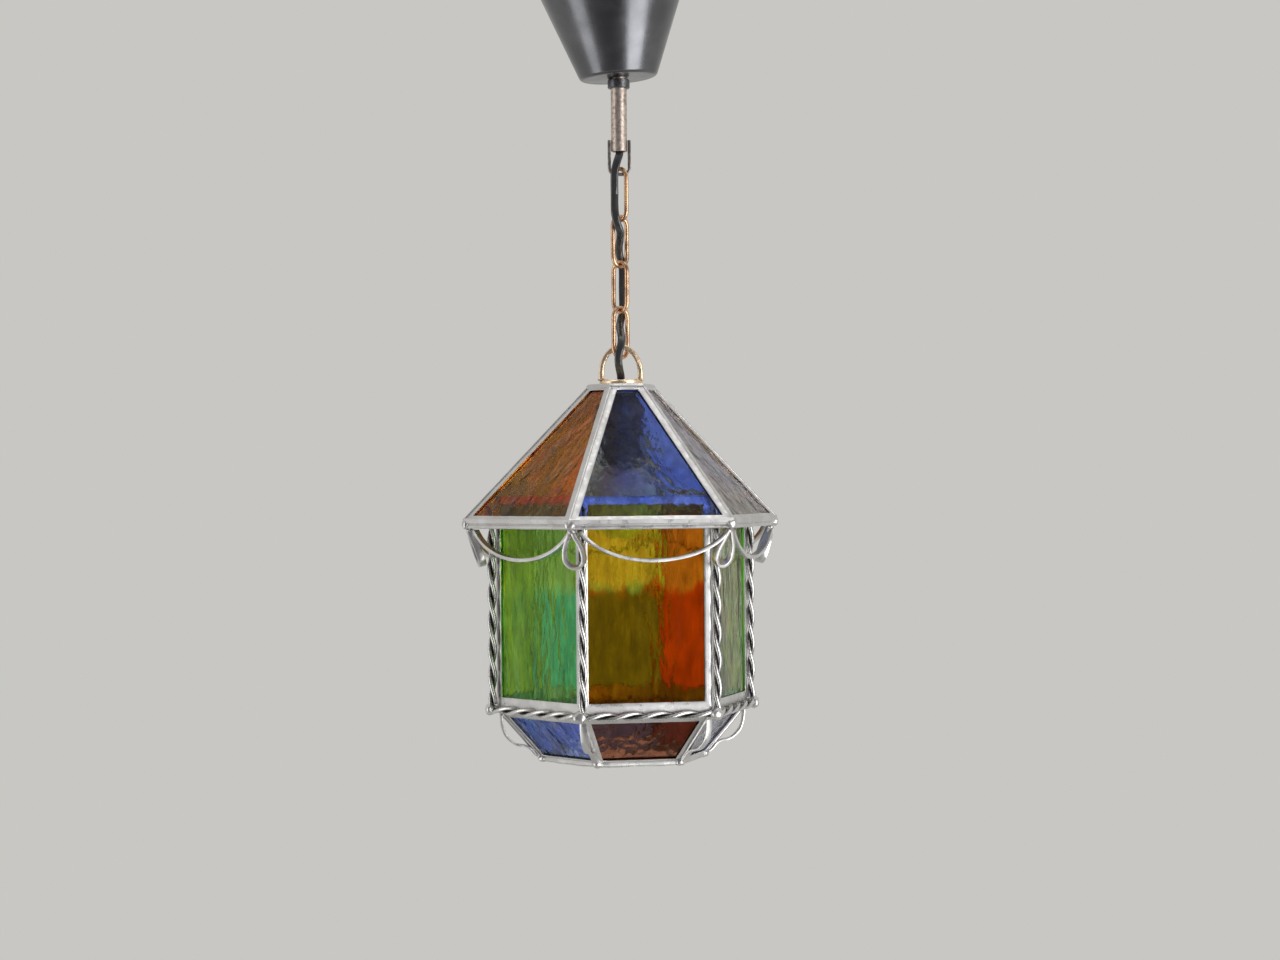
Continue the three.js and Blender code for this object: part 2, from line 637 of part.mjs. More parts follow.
function holderGeometry() {
  const ribZone = HOLDER_LENGTH - HOLDER_NECK - 2 * HOLDER_RIM;
  const ribPitch = ribZone / HOLDER_RIBS;
  const bottom = HOLDER_TOP - HOLDER_LENGTH;
  const ribs = [];
  for (let i = 0; i < HOLDER_RIBS; i++) {
    const from = bottom + HOLDER_RIM + i * ribPitch;
    ribs.push([HOLDER_RADIUS, from], [HOLDER_RADIUS - HOLDER_RIB_DEPTH, from + ribPitch / 2]);
  }
  const floor = HOLDER_TOP - HOLDER_NECK;
  const cavity = BULB_CAP_RADIUS + SEAT_GAP;
  const socket = NIPPLE_RADIUS + SEAT_GAP;
  const profile = [
    [0, floor - HOLDER_FLOOR],
    [cavity, floor - HOLDER_FLOOR],
    [cavity, bottom],
    [HOLDER_RADIUS, bottom],
    ...ribs,
    [HOLDER_RADIUS, bottom + HOLDER_RIM + ribZone],
    [HOLDER_RADIUS, HOLDER_TOP - HOLDER_SHOULDER],
    [socket + HOLDER_TOP_WALL, HOLDER_TOP],
    [socket, HOLDER_TOP],
    [socket, floor],
    [0, floor],
  ];
  return turned(profile, HOLE_SEGMENTS);
}

function bulbGeometry() {
  const top = HOLDER_TOP - HOLDER_NECK - HOLDER_FLOOR - SEAT_GAP;
  const ballZ = top - BULB_LENGTH + BULB_RADIUS;
  const neckZ = HOLDER_TOP - HOLDER_LENGTH - SEAT_GAP;
  const ball = [];
  for (let i = 0; i <= BULB_STEPS; i++) {
    const at = -Math.PI / 2 + ((BULB_NECK_ANGLE + Math.PI / 2) * i) / BULB_STEPS;
    ball.push([BULB_RADIUS * Math.cos(at), ballZ + BULB_RADIUS * Math.sin(at)]);
  }
  ball[0][0] = 0;
  const neck = [[BULB_CAP_RADIUS, neckZ], [BULB_CAP_RADIUS, top], [0, top]];
  return turned([...ball, ...neck], HOLE_SEGMENTS);
}

// Storeys

const ROOF_LOW = { r: ROOF_EAVE_RADIUS, z: ROOF_EAVE_Z };
const ROOF_HIGH = { r: ROOF_TOP_RADIUS, z: ROOF_TOP_Z };
const roofSide = frontSide(ROOF_LOW, ROOF_HIGH);

// Height at which the roof's inner surface has the given corner radius.
function underRoofZ(radius) {
  const slope = (ROOF_EAVE_RADIUS - ROOF_TOP_RADIUS) / (ROOF_TOP_Z - ROOF_EAVE_Z);
  const inner = ROOF_EAVE_RADIUS - roofSide.inwardFor(FRAME_THICKNESS);
  return ROOF_EAVE_Z + (inner - radius) / slope;
}

const BODY_TOP_Z = underRoofZ(BODY_RADIUS + SEAT_GAP * 2);
const EAVE_BOTTOM_Z = EAVE_TOP_Z - EAVE_BAND - EAVE_LIP;

function roofStorey() {
  const inner = EAVE_RADIUS - EAVE_DEPTH;
  const lipTop = EAVE_TOP_Z - EAVE_BAND;
  const plateLow = { r: ROOF_TOP_RADIUS, z: ROOF_TOP_Z - ROOF_PLATE_THICKNESS / 2 };
  const plateHigh = { r: ROOF_TOP_RADIUS, z: ROOF_TOP_Z + ROOF_PLATE_THICKNESS };
  const drill = NIPPLE_RADIUS + SEAT_GAP;
  const hole = column(drill, plateLow.z - CUT_MARGIN, plateHigh.z + CUT_MARGIN);
  const { shell, pane } = storey({
    low: ROOF_LOW, high: ROOF_HIGH,
    bottomCame: ROOF_EAVE_CAME, topCame: ROOF_TOP_CAME, sideCame: ROOF_CAME,
    rails: [
      hexRing(EAVE_RADIUS, inner, lipTop, EAVE_TOP_Z),
      hexRing(EAVE_LIP_RADIUS, inner, EAVE_BOTTOM_Z, lipTop),
      solid(hexFrustum(plateLow, plateHigh)),
    ],
  });
  return { frame: geometryOf(shell.subtract(solid(hole))), pane };
}

function bodyStorey() {
  const { shell, pane } = storey({
    low: { r: BODY_RADIUS, z: BODY_BOTTOM_Z }, high: { r: BODY_RADIUS, z: BODY_TOP_Z },
    bottomCame: BODY_BOTTOM_RAIL, topCame: BODY_TOP_RAIL, sideCame: BODY_CAME,
  });
  return { frame: geometryOf(shell), pane };
}

const SKIRT_LOW = { r: SKIRT_RIM_RADIUS, z: SKIRT_RIM_Z };
const SKIRT_HIGH = { r: SKIRT_TOP_RADIUS, z: BODY_BOTTOM_Z - SEAT_GAP };

function skirtStorey() {
  const rimTop = SKIRT_RIM_Z + RIM_LIFT;
  const { shell, pane } = storey({
    low: SKIRT_LOW, high: SKIRT_HIGH,
    bottomCame: SKIRT_RIM_CAME, topCame: SKIRT_TOP_CAME, sideCame: SKIRT_CAME,
    rails: [hexRing(SKIRT_RIM_RADIUS, SKIRT_RIM_RADIUS - RIM_DEPTH, rimTop - RIM_HEIGHT, rimTop)],
  });
  return { frame: geometryOf(shell), pane };
}

// Twisted wire

const TWIST_RADIUS = BODY_RADIUS + SEAT_GAP + STRAND;
const RING_RADIUS = BODY_RADIUS + (SEAT_GAP + STRAND) / APOTHEM;

// A straight left-handed pair that stands on the bottom ring and ends under the roof.
function cornerTwistGeometry() {
  const bottom = RING_Z + STRAND + SEAT_GAP;
  const top = underRoofZ(TWIST_RADIUS + STRAND + 2 * SEAT_GAP);
  const steps = Math.round(((top - bottom) / TWIST_PITCH) * STEPS_PER_TURN);
  const rows = [];
  for (let i = 0; i <= steps; i++) {
    const z = bottom + ((top - bottom) * i) / steps;
    const angle = (-2 * Math.PI * (z - bottom)) / TWIST_PITCH;
    rows.push(pairSection(angle).map(([a, b]) => (
      new THREE.Vector3(TWIST_RADIUS + a, TWIST_SHIFT + b, z)
    )));
  }
  return loft(rows);
}

// The same pair laid round the body's foot, mitred at the corners.
function bottomTwistGeometry() {
  const perSide = Math.round((RING_TURNS * STEPS_PER_TURN) / SIDES);
  const rows = [];
  for (let side = 0; side < SIDES; side++) {
    const from = -side * SIDE_ANGLE;
    const start = new THREE.Vector3(Math.cos(from), Math.sin(from), 0);
    const end = new THREE.Vector3(Math.cos(from - SIDE_ANGLE), Math.sin(from - SIDE_ANGLE), 0);
    const normal = start.clone().add(end).normalize();
    for (let i = 0; i < perSide; i++) {
      const middle = start.clone().lerp(end, i / perSide).multiplyScalar(RING_RADIUS);
      const outward = i === 0 ? start.clone().divideScalar(APOTHEM) : normal;
      const progress = (side + i / perSide) / SIDES;
      const angle = -2 * Math.PI * RING_TURNS * progress;
      rows.push(pairSection(angle).map(([a, b]) => {
        const point = middle.clone().addScaledVector(outward, a);
        return point.setZ(RING_Z + b);
      }));
    }
  }
  return loft(rows, true);
}

// Festoons, drop loops and scrolls

// A strip of even thickness along a curve, as an outline in the curve's plane.
function stripOutline(curve, steps, thickness) {
  const near = [];
  const far = [];
  for (let i = 0; i <= steps; i++) {
    const point = curve.getPoint(i / steps);
    const tangent = curve.getTangent(i / steps);
    const across = new THREE.Vector2(-tangent.y, tangent.x).multiplyScalar(thickness / 2);
    near.push(point.clone().sub(across));
    far.push(point.clone().add(across));
  }
  return new THREE.Shape([...near, ...far.reverse()]);
}

const FESTOON_FULLNESS = 0.6; // how far out its steep ends reach, as a share of half its span
const FESTOON_DEPTH = EAVE_LIP_RADIUS * APOTHEM - RIBBON / 2 - SEAT_GAP;
const DROP_CORNER_RADIUS = EAVE_LIP_RADIUS - RIBBON / 2 - 2 * SEAT_GAP;

function festoonGeometry() {
  const top = EAVE_BOTTOM_Z - SEAT_GAP - RIBBON_THICKNESS / 2;
  const end = DROP_CORNER_RADIUS / 2;
  const start = -end + DROP_TOP_HALF + RIBBON / 2 + FESTOON_CLEARANCE;
  const depth = (4 / 3) * FESTOON_SAG;
  const curve = new THREE.CubicBezierCurve(
    new THREE.Vector2(start, top),
    new THREE.Vector2(start * FESTOON_FULLNESS, top - depth),
    new THREE.Vector2(end * FESTOON_FULLNESS, top - depth),
    new THREE.Vector2(end, top),
  );
  const outline = stripOutline(curve, FESTOON_STEPS, RIBBON_THICKNESS);
  return slab(outline, RIBBON).translate(0, -FESTOON_DEPTH, 0);
}

// A teardrop: down one side from the top, round the bottom and up the other side.
function teardrop(path, half, apex, bottomZ) {
  const waist = bottomZ * DROP_WAIST;
  const spread = apex.x + half * DROP_SPREAD;
  path.moveTo(apex.x, apex.z);
  path.bezierCurveTo(spread, waist, half, waist, half, bottomZ);
  path.absarc(0, bottomZ, half, 0, -Math.PI, true);
  path.bezierCurveTo(-half, waist, -spread, waist, -apex.x, apex.z);
}

const DROP_HOLE_APEX = { x: 0.2, z: -2 * RIBBON_THICKNESS };

function dropGeometry() {
  const half = DROP_WIDTH / 2;
  const bottomZ = -(DROP_LENGTH - half);
  const inner = half - RIBBON_THICKNESS;
  const shape = new THREE.Shape();
  teardrop(shape, half, { x: DROP_TOP_HALF, z: 0 }, bottomZ);
  shape.closePath();
  const hole = new THREE.Path();
  teardrop(hole, inner, DROP_HOLE_APEX, bottomZ);
  hole.closePath();
  shape.holes.push(hole);
  const lift = (RIBBON / 2) * Math.sin(DROP_TILT);
  const drop = slab(shape, RIBBON, 5).rotateX(DROP_TILT);
  drop.translate(0, -DROP_CORNER_RADIUS, EAVE_BOTTOM_Z - SEAT_GAP - lift);
  return drop.rotateZ(HALF_SIDE);
}

function garlandGeometry() {
  return geometryOf(solid(festoonGeometry()).add(solid(dropGeometry())));
}

// The scroll's middle line, as shares of the hip's length from its top and distances from it.
const SCROLL_SEAT = SCROLL_THICKNESS / 2 + SEAT_GAP;
const SCROLL_POINTS = [
  [0.076, SCROLL_SEAT], [0.21, 4.9], [0.38, 7.6], [0.57, 6.6],
  [0.695, 2.9], [0.79, 1.6], [0.89, 1.7], [0.96, SCROLL_SEAT],
];

function scrollGeometry() {
  const top = new THREE.Vector2(SKIRT_HIGH.r, SKIRT_HIGH.z);
  const hip = new THREE.Vector2(SKIRT_LOW.r, SKIRT_LOW.z).sub(top);
  const outward = new THREE.Vector2(-hip.y, hip.x).normalize();
  const points = SCROLL_POINTS.map(([share, proud]) => (
    top.clone().addScaledVector(hip, share).addScaledVector(outward, proud)
  ));
  const outline = stripOutline(new THREE.SplineCurve(points), SCROLL_STEPS, SCROLL_THICKNESS);
  return slab(outline, SCROLL_WIDTH);
}

// Assembly

const GLASS_COLOURS = {
  roof: ["blue", "amber", "blue", "amber", "blue", "amber"],
  body: ["amber", "green", "amber", "green", "amber", "green"],
  skirt: ["amethyst", "blue", "amethyst", "blue", "amethyst", "blue"],
};

function addHanger(parent) {
  const hanger = new THREE.Group();
  hanger.rotation.z = HANGER_TURN;
  parent.add(hanger);
  const nutTop = HANGER_NUT_LOW + HANGER_NUT_HEIGHT;
  addPiece(hanger, "hanger_eye", "darkSteel", hangerEye());
  const hangerNut = nut(NUT_FLATS, EYE_HOLE_RADIUS, HANGER_NUT_LOW, nutTop);
  addPiece(hanger, "hanger_nut", "darkSteel", hangerNut);
  addPiece(hanger, "terminal_block", "plastic", terminalBlock());
  addPiece(hanger, "tube", "nickel", tubeGeometry());
  const stirrup = addPiece(parent, "stirrup", "darkSteel", stirrupGeometry());
  stirrup.rotation.z = STIRRUP_TURN;
}

function addCanopy(parent) {
  addPiece(parent, "collar", "darkSteel", collarGeometry());
  addPiece(parent, "collar_screw", "darkSteel", collarScrew());
  const canopy = addPiece(parent, "canopy", "canopy", canopyGeometry());
  const towardsViewer = new THREE.Vector3(Math.sin(HANGER_TURN), -Math.cos(HANGER_TURN), 0);
  canopy.position.z = CANOPY_FLOOR_Z;
  canopy.quaternion.setFromAxisAngle(towardsViewer, CANOPY_LEAN);
}

function addChain(parent) {
  for (let k = 1; k <= LINKS; k++) {
    const link = addPiece(parent, `chain_link_${k}`, "chain", linkGeometry(k));
    link.rotation.z = CHAIN_TURN + ((k - 1) % 2) * (Math.PI / 2);
  }
  const cable = addPiece(parent, "cable", "cable", cableGeometry());
  cable.rotation.z = CABLE_TURN;
}

function addCap(parent) {
  const loop = addPiece(parent, "cap_loop", "brass", capLoopGeometry());
  loop.rotation.z = LOOP_TURN;
  const nippleBottom = NIPPLE_TOP - NIPPLE_LENGTH;
  const nutBore = NIPPLE_RADIUS + SEAT_GAP;
  addPiece(parent, "cap_plate", "brass", capPlateGeometry());
  addPiece(parent, "nipple", "nickel", washer(NIPPLE_RADIUS, NIPPLE_BORE_RADIUS, nippleBottom, NIPPLE_TOP));
  addPiece(parent, "nipple_nut", "nickel", nut(NUT_FLATS, nutBore, NUT_TOP - NUT_HEIGHT, NUT_TOP));
  addPiece(parent, "lampholder", "plastic", holderGeometry());
  addPiece(parent, "bulb", "bulb", bulbGeometry());
}

function addStorey(parent, name, { frame, pane }) {
  addPiece(parent, `${name}_frame`, "solder", frame);
  for (let i = 0; i < SIDES; i++) {
    const glass = addPiece(parent, `${name}_glass_${i + 1}`, GLASS_COLOURS[name][i], pane);
    glass.rotation.z = i * SIDE_ANGLE;
  }
}

function addTrim(parent) {
  addPiece(parent, "bottom_twist", "solder", bottomTwistGeometry());
  const twist = cornerTwistGeometry();
  const garland = garlandGeometry();
  const scroll = scrollGeometry();
  for (let i = 0; i < SIDES; i++) {
    const corner = (i - 1) * SIDE_ANGLE; // the corner at the right-hand end of side i
    addPiece(parent, `corner_twist_${i + 1}`, "solder", twist).rotation.z = corner;
    addPiece(parent, `garland_${i + 1}`, "solder", garland).rotation.z = i * SIDE_ANGLE;
    addPiece(parent, `skirt_scroll_${i + 1}`, "solder", scroll).rotation.z = corner;
  }
}

const lantern = new THREE.Group();
addHanger(lantern);
addCanopy(lantern);
addChain(lantern);
addCap(lantern);
addStorey(lantern, "roof", roofStorey());
addStorey(lantern, "body", bodyStorey());
addStorey(lantern, "skirt", skirtStorey());
addTrim(lantern);

export default lantern;
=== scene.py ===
"""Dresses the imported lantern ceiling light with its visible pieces, finishes and a plain studio.

Lengths are in millimetres where a name ends in _MM and in the tables of points and profiles,
and in metres elsewhere. The lantern hangs from the origin, +Z is up, and its corners stand at
every 60 degrees from +X.
"""

import math

import bmesh
import bpy
from bpy.props import FloatProperty, FloatVectorProperty, IntProperty, PointerProperty
from mathutils import Matrix, Quaternion, Vector, noise


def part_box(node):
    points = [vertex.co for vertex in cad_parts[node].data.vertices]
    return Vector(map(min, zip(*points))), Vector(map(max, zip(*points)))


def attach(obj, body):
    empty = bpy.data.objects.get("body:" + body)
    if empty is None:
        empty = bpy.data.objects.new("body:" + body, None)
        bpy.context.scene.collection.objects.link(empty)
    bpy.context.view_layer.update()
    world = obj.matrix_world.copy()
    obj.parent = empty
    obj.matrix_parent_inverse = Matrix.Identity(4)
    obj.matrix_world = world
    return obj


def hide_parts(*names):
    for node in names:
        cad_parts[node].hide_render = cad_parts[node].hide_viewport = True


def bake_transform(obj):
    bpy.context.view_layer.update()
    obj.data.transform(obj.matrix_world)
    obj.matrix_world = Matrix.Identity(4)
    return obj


bl_info = {
    "name": "Lantern Ceiling Light",
    "version": (1, 0, 0),
    "blender": (4, 5, 0),
    "location": "View3D > Sidebar > Lantern",
    "description": "Builds the lantern's visible pieces, finishes and studio around its CAD frame",
    "category": "Object",
}

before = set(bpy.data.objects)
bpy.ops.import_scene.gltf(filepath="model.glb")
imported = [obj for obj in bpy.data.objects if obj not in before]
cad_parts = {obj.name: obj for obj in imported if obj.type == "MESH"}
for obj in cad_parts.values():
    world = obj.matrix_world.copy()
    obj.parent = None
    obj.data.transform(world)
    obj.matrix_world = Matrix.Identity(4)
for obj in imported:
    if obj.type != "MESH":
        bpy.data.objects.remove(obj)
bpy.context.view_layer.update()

MM = 0.001
SIDES = 6
SIDE_ANGLE = math.tau / SIDES
APOTHEM = math.cos(SIDE_ANGLE / 2)  # a side's distance from the axis, for a corner radius of 1
UP = Vector((0, 0, 1))

# Hanger, canopy and tube
CANOPY_RIM_MM, CANOPY_FLOOR_MM, CANOPY_HEIGHT_MM = 50, 24, 67
CANOPY_WALL_MM, CANOPY_EDGE_MM, CANOPY_HOLE_MM = 1, 3, 5.7
CANOPY_FLOOR_Z_MM = -49
CANOPY_LEAN = math.radians(4.2)
SCUFF_COLOUR = (0.24, 0.235, 0.23, 1)
COLLAR_RADIUS_MM, COLLAR_BORE_MM = 6.9, 5.3
COLLAR_TOP_MM, COLLAR_BOTTOM_MM = -49.8, -55.4
TUBE_RADIUS_MM, TUBE_BORE_MM = 5, 4
TUBE_TOP_MM, TUBE_BOTTOM_MM = -26.7, -94.8

# Chain and cable
LINK_TURN = math.radians(-57.2)
LINK_BAR_MM, LINK_WIRE_MM = 5.98, 1.4
LINK_STEPS = 14  # faces round the wire, and steps round each bow
LOOP_EDGE_MM, LOOP_STRETCH = 0.9, 1.03  # the stretch leaves the last link room to swing
CABLE_TURN = math.radians(-12.2)
CABLE_HALF_WIDTH_MM, CABLE_HALF_THICKNESS_MM = 2.45, 1.45

# Roof, body and skirt: (corner radius, height) of the lower and the upper edge of each storey
ROOF_LOW, ROOF_HIGH = (99.7, -324.1), (20.6, -242.1)
BODY_LOW, BODY_HIGH = (79.6, -441.2), (79.6, -310.1)
SKIRT_LOW, SKIRT_HIGH = (52.3, -471.4), (78.6, -441.5)
EAVE_BOTTOM_MM = -328.9
RING_Z_MM, RING_RADIUS_MM = -441, 83.3
RING_TURNS = 2.5  # of the twist along one side of the body's foot
TWIST_RADIUS_MM, TWIST_LOW_MM, TWIST_HIGH_MM = 82.8, -437.8, -316.4
TWIST_PITCH_MM = 33
TWIST_SHIFT_MM = 1.9  # along the next side, off the corner's edge

# Festoons, drop loops and scrolls
RIBBON_WIDTH_MM, RIBBON_THICKNESS_MM = 4.5, 2.2
FESTOON_DEPTH_MM, DROP_RADIUS_MM = 82.9, 95.85
FESTOON_SAG_MM, FESTOON_START_MM = 17.5, 2.9
DROP_HALF_WIDTH_MM, DROP_LENGTH_MM, DROP_TILT = 7, 17, math.radians(19)
HANG_GAP_MM = 0.3  # between the eave and what hangs from it
SCROLL_WIDTH_MM, SCROLL_THICKNESS_MM = 4.2, 1.4

# The camera: level, a little above the lantern's eave, turned to the left of the front side
VIEW_AZIMUTH = math.radians(-102.2)
CAMERA_PLACE = (-0.3276, -1.5692, -0.300)
CAMERA_LENS, CAMERA_SENSOR, CAMERA_ROLL = 72.14, 36, math.radians(0.45)

# The studio
BACKDROP, BACKDROP_DIMMED = (0.578, 0.571, 0.546, 1), (0.17, 0.17, 0.175, 1)
SOFT_LIGHT = (0.5, 0.495, 0.48, 1)
FLOOR_COLOUR, FLOOR_RADIUS, FLOOR_DEPTH = (0.6, 0.595, 0.57, 1), 1.0, 1.0
LIGHT_TARGET = Vector((0, 0, -0.28))


# Mesh helpers


def verts_of(geom):
    return [g for g in geom if isinstance(g, bmesh.types.BMVert)]


def edges_of(geom):
    return [g for g in geom if isinstance(g, bmesh.types.BMEdge)]


def chain_of(bm, points):
    """Draws a chain of edges through the points, by extruding one vertex along them."""
    tip = bmesh.ops.create_vert(bm, co=points[0])["vert"][0]
    verts, edges = [tip], []
    for point in points[1:]:
        made = bmesh.ops.extrude_vert_indiv(bm, verts=[tip])
        tip = made["verts"][0]
        bmesh.ops.translate(bm, verts=[tip], vec=Vector(point) - tip.co)
        verts.append(tip)
        edges += made["edges"]
    return verts, edges


def turned(bm, profile_mm, steps):
    """Spins a closed [radius, height] profile round the Z axis. Six steps make a hexagon."""
    points = [Vector((r * MM, 0, z * MM)) for r, z in profile_mm]
    verts, edges = chain_of(bm, points)
    if (points[0] - points[-1]).length > MM and points[0].x > 0:
        edges += bmesh.ops.contextual_create(bm, geom=[verts[0], verts[-1]])["edges"]
    bmesh.ops.spin(
        bm, geom=verts + edges, cent=(0, 0, 0), axis=UP, angle=math.tau, steps=steps,
        use_merge=True)
    bmesh.ops.remove_doubles(bm, verts=bm.verts, dist=MM * 1e-3)
    bmesh.ops.recalc_face_normals(bm, faces=bm.faces)


def ring_profile(bore, radius, bottom, top, soft):
    return [
        (bore, bottom), (radius - soft, bottom), (radius, bottom + soft), (radius, top - soft),
        (radius - soft, top), (bore, top)]


def round_edges(bm, offset, angle):
    """Rounds the edges that turn by more than an angle. The offset is in the mesh's own unit."""
    edges = [e for e in bm.edges if e.is_manifold and e.calc_face_angle(0) > angle]
    bmesh.ops.bevel(
        bm, geom=edges, offset=offset, offset_type="OFFSET", affect="EDGES", segments=2,
        profile=0.5, material=-1, clamp_overlap=True)


def strap(bm, points_mm, width_mm, thickness_mm, edge_mm=0.35):
    """A bent strip: its middle line lies in the XZ plane, and its width is along Y."""
    points = [Vector((x * MM, -width_mm / 2 * MM, z * MM)) for x, z in points_mm]
    _, edges = chain_of(bm, points)
    made = bmesh.ops.extrude_edge_only(bm, edges=edges)["geom"]
    bmesh.ops.translate(bm, verts=verts_of(made), vec=(0, width_mm * MM, 0))
    bmesh.ops.recalc_face_normals(bm, faces=bm.faces)
    bm.normal_update()
    for vert in list(bm.verts):
        vert.co += vert.normal * thickness_mm / 2 * MM
    bmesh.ops.solidify(bm, geom=list(bm.faces), thickness=thickness_mm * MM)
    bmesh.ops.recalc_face_normals(bm, faces=bm.faces)
    round_edges(bm, edge_mm * MM, math.radians(60))


def wave(bm, amount_mm, scale_mm, seed=0):
    """Moves the surface in and out a little, as poured or hand-worked metal is."""
    bm.normal_update()
    shift = Vector((seed * 7.3, seed * 3.1, seed * 5.7))
    for vert in bm.verts:
        level = noise.noise(vert.co / (scale_mm * MM) + shift)
        vert.co += vert.normal * (level * amount_mm * MM)


def blob(bm, place_mm, size_mm, seed, turn):
    """One drop of solder, flattened or drawn out by its three half sizes."""
    half = Matrix.Diagonal([s * MM for s in size_mm] + [1])
    matrix = Matrix.Translation(Vector(place_mm) * MM) @ Matrix.Rotation(turn, 4, "Z") @ half
    made = bmesh.ops.create_icosphere(bm, subdivisions=3, radius=1.0)["verts"]
    for vert in made:
        lump = noise.noise(vert.co * 1.3 + Vector((seed * 4.1, seed * 2.3, 0)))
        vert.co *= 1 + 0.22 * lump
    bmesh.ops.transform(bm, matrix=matrix, verts=made)


def around(radius, azimuth, z):
    return Vector((radius * math.cos(azimuth), radius * math.sin(azimuth), z))


def corner_angle(index):
    """Azimuth of the corner at the right-hand end of side index + 1."""
    return (index - 1) * SIDE_ANGLE


def add_part(bm, part, matrix):
    """Puts a part in its place in a larger mesh."""
    bmesh.ops.transform(part, matrix=matrix, verts=part.verts)
    mesh = bpy.data.meshes.new("part")
    part.to_mesh(mesh)
    part.free()
    bm.from_mesh(mesh)
    bpy.data.meshes.remove(mesh)


def make_object(bm, name, material, smooth_angle=math.radians(38)):
    """Turns a mesh into an object, smooth but for its sharp edges."""
    mesh = bpy.data.meshes.new(name)
    bm.to_mesh(mesh)
    bm.free()
    mesh.shade_smooth()
    mesh.set_sharp_from_angle(angle=smooth_angle)
    mesh.materials.append(material)
    piece = bpy.data.objects.new(name, mesh)
    bpy.context.scene.collection.objects.link(piece)
    return piece


def finish_piece(bm, name, body, material, replaces=()):
    """Turns a mesh into a piece that rides on a CAD body."""
    piece = make_object(bm, name, material)
    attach(piece, body)
    if replaces:
        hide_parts(*replaces)


def softened(bm, node_name, edge_mm):
    """A copy of a CAD node's shape with its doubles merged and its edges rounded."""
    bm.from_mesh(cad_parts[node_name].data)
    bmesh.ops.remove_doubles(bm, verts=bm.verts, dist=MM * 2e-3)
    bmesh.ops.dissolve_limit(
        bm, angle_limit=math.radians(0.5), verts=bm.verts, edges=bm.edges,
        use_dissolve_boundaries=False)
    round_edges(bm, edge_mm * MM, math.radians(35))


def spline_points(points, steps):
    """Points along a smooth curve through the given ones."""
    found = []
    last = len(points) - 1
    for i in range(last):
        p0, p1, p2, p3 = (points[min(max(i + k, 0), last)] for k in (-1, 0, 1, 2))
        for s in range(steps):
            t = s / steps
            found.append(0.5 * (
                2 * p1 + (p2 - p0) * t + (2 * p0 - 5 * p1 + 4 * p2 - p3) * t ** 2
                + (3 * p1 - p0 - 3 * p2 + p3) * t ** 3))
    return found + [points[-1]]


def bezier_points(a, b, c, d, steps):
    found = []
    for i in range(steps + 1):
        t = i / steps
        u = 1 - t
        found.append(a * u ** 3 + b * 3 * u * u * t + c * 3 * u * t * t + d * t ** 3)
    return found


def hex_side(low, high):
    """The front side of a storey: its length up the slope, half widths, and its matrix."""
    rise = high[1] - low[1]
    run = (low[0] - high[0]) * APOTHEM
    length = math.hypot(rise, run)
    across = Vector((1, 0, 0))
    up = Vector((0, run / length, rise / length))
    out = Vector((0, -rise / length, run / length))
    matrix = Matrix((across, up, out)).transposed().to_4x4() @ Matrix.Scale(MM, 4)
    matrix.translation = Vector((0, -low[0] * APOTHEM, low[1])) * MM

    def half_at(s):
        return low[0] / 2 + (high[0] - low[0]) / 2 * s / length

    return length, half_at, matrix


# Material helpers


def fill_sockets(tree, node, inputs):
    """Links each named socket where its value is a socket too, and otherwise sets it."""
    for name, value in inputs.items():
        if isinstance(value, bpy.types.NodeSocket):
            tree.links.new(value, node.inputs[name])
        else:
            node.inputs[name].default_value = value


def new_node(tree, kind, inputs=None, **settings):
    made = tree.nodes.new(kind)
    for name, value in settings.items():
        setattr(made, name, value)
    fill_sockets(tree, made, inputs or {})
    return made


def start_material(name):
    material = bpy.data.materials.new(name)
    material.use_nodes = True
    tree = material.node_tree
    shader = tree.nodes["Principled BSDF"]
    place = new_node(tree, "ShaderNodeTexCoord").outputs["Object"]
    return material, tree, shader, place


def stretched(tree, place, scale):
    return new_node(tree, "ShaderNodeMapping", {"Vector": place, "Scale": scale}).outputs[0]


def noise_level(tree, place, scale_mm, detail=2.0, roughness=0.5, distortion=0.0):
    made = new_node(tree, "ShaderNodeTexNoise", {
        "Vector": place, "Scale": 1000 / scale_mm, "Detail": detail, "Roughness": roughness,
        "Distortion": distortion})
    return made.outputs["Fac"]


def between(tree, value, low, high, to_low=0.0, to_high=1.0):
    """Takes a value from the range low to high, softly, to another range."""
    made = new_node(tree, "ShaderNodeMapRange", {
        "Value": value, "From Min": low, "From Max": high, "To Min": to_low, "To Max": to_high},
        interpolation_type="SMOOTHSTEP")
    return made.outputs["Result"]


def blended(tree, factor, first, second):
    made = new_node(
        tree, "ShaderNodeMix", {0: factor, 6: first, 7: second}, data_type="RGBA",
        blend_type="MIX")
    return made.outputs[2]


def calculated(tree, operation, first, second):
    made = new_node(tree, "ShaderNodeMath", {0: first, 1: second}, operation=operation)
    return made.outputs[0]


def add_bump(tree, shader, height, distance_mm):
    bump = new_node(tree, "ShaderNodeBump", {
        "Height": height, "Distance": distance_mm * MM, "Strength": 1.0})
    tree.links.new(bump.outputs["Normal"], shader.inputs["Normal"])


def opaque(colour):
    return (*colour[:3], 1.0)


def scaled(colour, factor):
    return tuple(min(c * factor, 1.0) for c in colour[:3]) + (1.0,)


